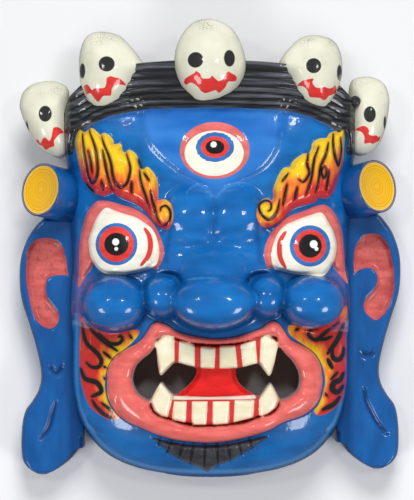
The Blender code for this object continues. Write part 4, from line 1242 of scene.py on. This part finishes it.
def plug_colours(tree):
    """Yellow goes round the plug's end in circles, with a paler ring near the edge."""
    radius = reading(tree, "radius")
    turns = add(tree, "Math", {0: radius, 1: 0.8}, operation="MULTIPLY").outputs[0]
    circles = add(tree, "TexNoise", {"W": turns, "Scale": 1.0, "Detail": 2.0},
                  noise_dimensions="1D").outputs[0]
    colour = blend(tree, spread(tree, circles, 0.35, 0.65), srgb("#dca01a"), srgb("#f4bf22"))
    colour = blend(tree, spread(tree, radius, 20.2, 20.7), colour, srgb("#fad75c"))
    colour = blend(tree, spread(tree, radius, 21.2, 21.6), colour, srgb("#e9a81c"))
    # Painted shade: a dark blue at the very edge of the plug's end.
    return blend(tree, spread(tree, radius, 22.2, 22.5), colour, srgb("#16355c"))


def skull_colours(tree):
    """Bone white with painted eyes and a red mouth, crazed at the crown."""
    colour = brushed(tree, "#d2d2bd", "#e4e2ce", 45, (1, 1, 1))
    where = add(tree, "TexCoord").outputs["Object"]
    cells = add(tree, "TexVoronoi", {0: where, "Scale": 420.0}, feature="DISTANCE_TO_EDGE")
    crack = spread(tree, cells.outputs["Distance"], 0.06, 0.02)
    patch = add(tree, "Math", {0: spread(tree, reading(tree, "crown"), 0.45, 0.8),
                               1: spread(tree, mottle(tree, 60), 0.48, 0.6)},
                operation="MULTIPLY").outputs[0]
    crazed = add(tree, "Math", {0: crack, 1: patch}, operation="MULTIPLY").outputs[0]
    colour = blend(tree, crazed, colour, srgb("#85867c"))
    colour = over(tree, colour, brushed(tree, "#cf2a2a", "#e23c36", 90), "mouth")
    return over(tree, colour, srgb("#2a2a2a"), "eye")


def plain(*colours):
    return lambda tree: brushed(tree, *colours)


ear_paint = enamel("gloss enamel brushed on the ears", ear_colours)
blue_paint = enamel("blue gloss enamel on turned wood",
                    plain("#0e4c8c", "#165ea4", 25, (3, 1, 1)))
plug_paint = enamel("yellow gloss enamel laid on in circles", plug_colours)
skull_paint = enamel("bone white gloss enamel, crazed with age", skull_colours)
knob_paint = enamel("black gloss enamel on a turned knob", plain("#1c1c20", "#34343a"))

bare_wood = bpy.data.materials.new("bare alder, gouged and browned with age")
bare_wood.use_nodes = True
tree = bare_wood.node_tree
tree.nodes.clear()
grain = mottle(tree, 90, (6, 0.4, 6), 4)
fleck = mottle(tree, 800, (1, 0.1, 1), 2)
tone = blend(tree, spread(tree, grain, 0.3, 0.7), srgb("#8a6240"), srgb("#b48a5e"))
tone = blend(tree, spread(tree, fleck, 0.62, 0.75, 0, 0.5), tone, srgb("#5e4028"))
relief = add(tree, "Bump", {"Strength": 0.5, "Distance": 0.0006, "Height": grain})
wood = add(tree, "BsdfPrincipled", {"Base Color": tone, "Roughness": 0.72,
                                    "Normal": relief.outputs[0]})
add(tree, "OutputMaterial", {0: wood.outputs[0]})
print("paints made")

# %% [markdown]
# ## Putting the finishes on
# The front is painted down to the rim. The hollow and the sawn rim stay bare.

# %% Finishes on the pieces
def finish_with(thing, *paints):
    thing.data.materials.clear()
    for paint in paints:
        thing.data.materials.append(paint)
    for side in thing.data.polygons:
        side.use_smooth = True
        side.material_index = 0


finish_with(mask_face, face_paint, bare_wood)
centres = np.array([side.center[:] for side in mask_face.data.polygons]).T / UNIT
downward = np.array([side.normal.z for side in mask_face.data.polygons]) < 0.2
cx, cy, cz = centres
reach = np.hypot(cx - BLOCK_CENTRE[0], cy - BLOCK_CENTRE[1])
wall = block_radius(np.arctan2(cy - BLOCK_CENTRE[1], cx - BLOCK_CENTRE[0]), RIM_WALL)
roof = np.maximum(head(cx, cy) - FACE_WALL, LOWEST_ROOF)
within = (reach < wall + 0.4) & (cz < roof + 1)
bare = downward & (within | (cz < 0.1))
for side, unpainted in zip(mask_face.data.polygons, bare):
    side.material_index = int(unpainted)

finish_with(left_ear, ear_paint)
finish_with(right_ear, ear_paint)
finish_with(knob, knob_paint)
for thing in skulls.values():
    finish_with(thing, skull_paint)
for thing, (centre, side) in zip((left_plug, right_plug), PLUG_CENTRES):
    finish_with(thing, plug_paint, blue_paint)
    axis = Vector(plug_axis(side))
    for part in thing.data.polygons:
        part.material_index = int(part.normal.dot(axis) < 0.9)

SLOTS = {mask_face: "blue_enamel", left_ear: "blue_enamel", right_ear: "blue_enamel",
         left_plug: "blue_enamel", right_plug: "blue_enamel", knob: "black_enamel"}
SLOTS.update({thing: "bone_enamel" for thing in skulls.values()})
for thing, slot in SLOTS.items():
    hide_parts("mask")
    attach(thing, "root")
print(len(SLOTS), "pieces")

# %% [markdown]
# ## Floor and light
# A pale table under a window beyond the crown, which gives the shading. Two small lights over the
# mask and two lower ones beyond the chin give the highlights on the gloss. The window and the
# table stay out of the reflections, so the blue keeps its depth on the steep sides.

# %% Floor and light
table = bmesh.new()
bmesh.ops.create_grid(table, x_segments=1, y_segments=1, size=3)
floor = as_object(table, "floor", 1)
surface = bpy.data.materials.new("matt pale board")
surface.use_nodes = True
surface.node_tree.nodes["Principled BSDF"].inputs["Base Color"].default_value = srgb("#e8e8ea")
surface.node_tree.nodes["Principled BSDF"].inputs["Roughness"].default_value = 0.9
floor.data.materials.append(surface)
floor.visible_glossy = False

world = bpy.data.worlds.new("room")
world.use_nodes = True
world.node_tree.nodes["Background"].inputs[0].default_value = srgb("#e8ebf0")
world.node_tree.nodes["Background"].inputs[1].default_value = 0.22
bpy.context.scene.world = world

# Each light: its name, place and size in metres, and power in watts.
LIGHTS = [("window", (0.15, 1.7, 1.75), 1.2, 48), ("near_left", (-0.75, 0.45, 2.15), 0.24, 4.2),
          ("near_right", (0.7, 0.4, 2.15), 0.24, 4.2), ("low_left", (-1.45, -1.15, 1.35), 0.75, 16),
          ("low_right", (1.45, -1.15, 1.35), 0.75, 16)]
for name, place, size, power in LIGHTS:
    lamp = bpy.data.lights.new(name, "AREA")
    lamp.shape = "DISK"
    lamp.size = size
    lamp.energy = power
    lit = bpy.data.objects.new(name, lamp)
    lit.location = place
    lit.rotation_euler = (-Vector(place)).to_track_quat("-Z", "Y").to_euler()
    lit.visible_glossy = lit.name != "window"
    bpy.context.scene.collection.objects.link(lit)
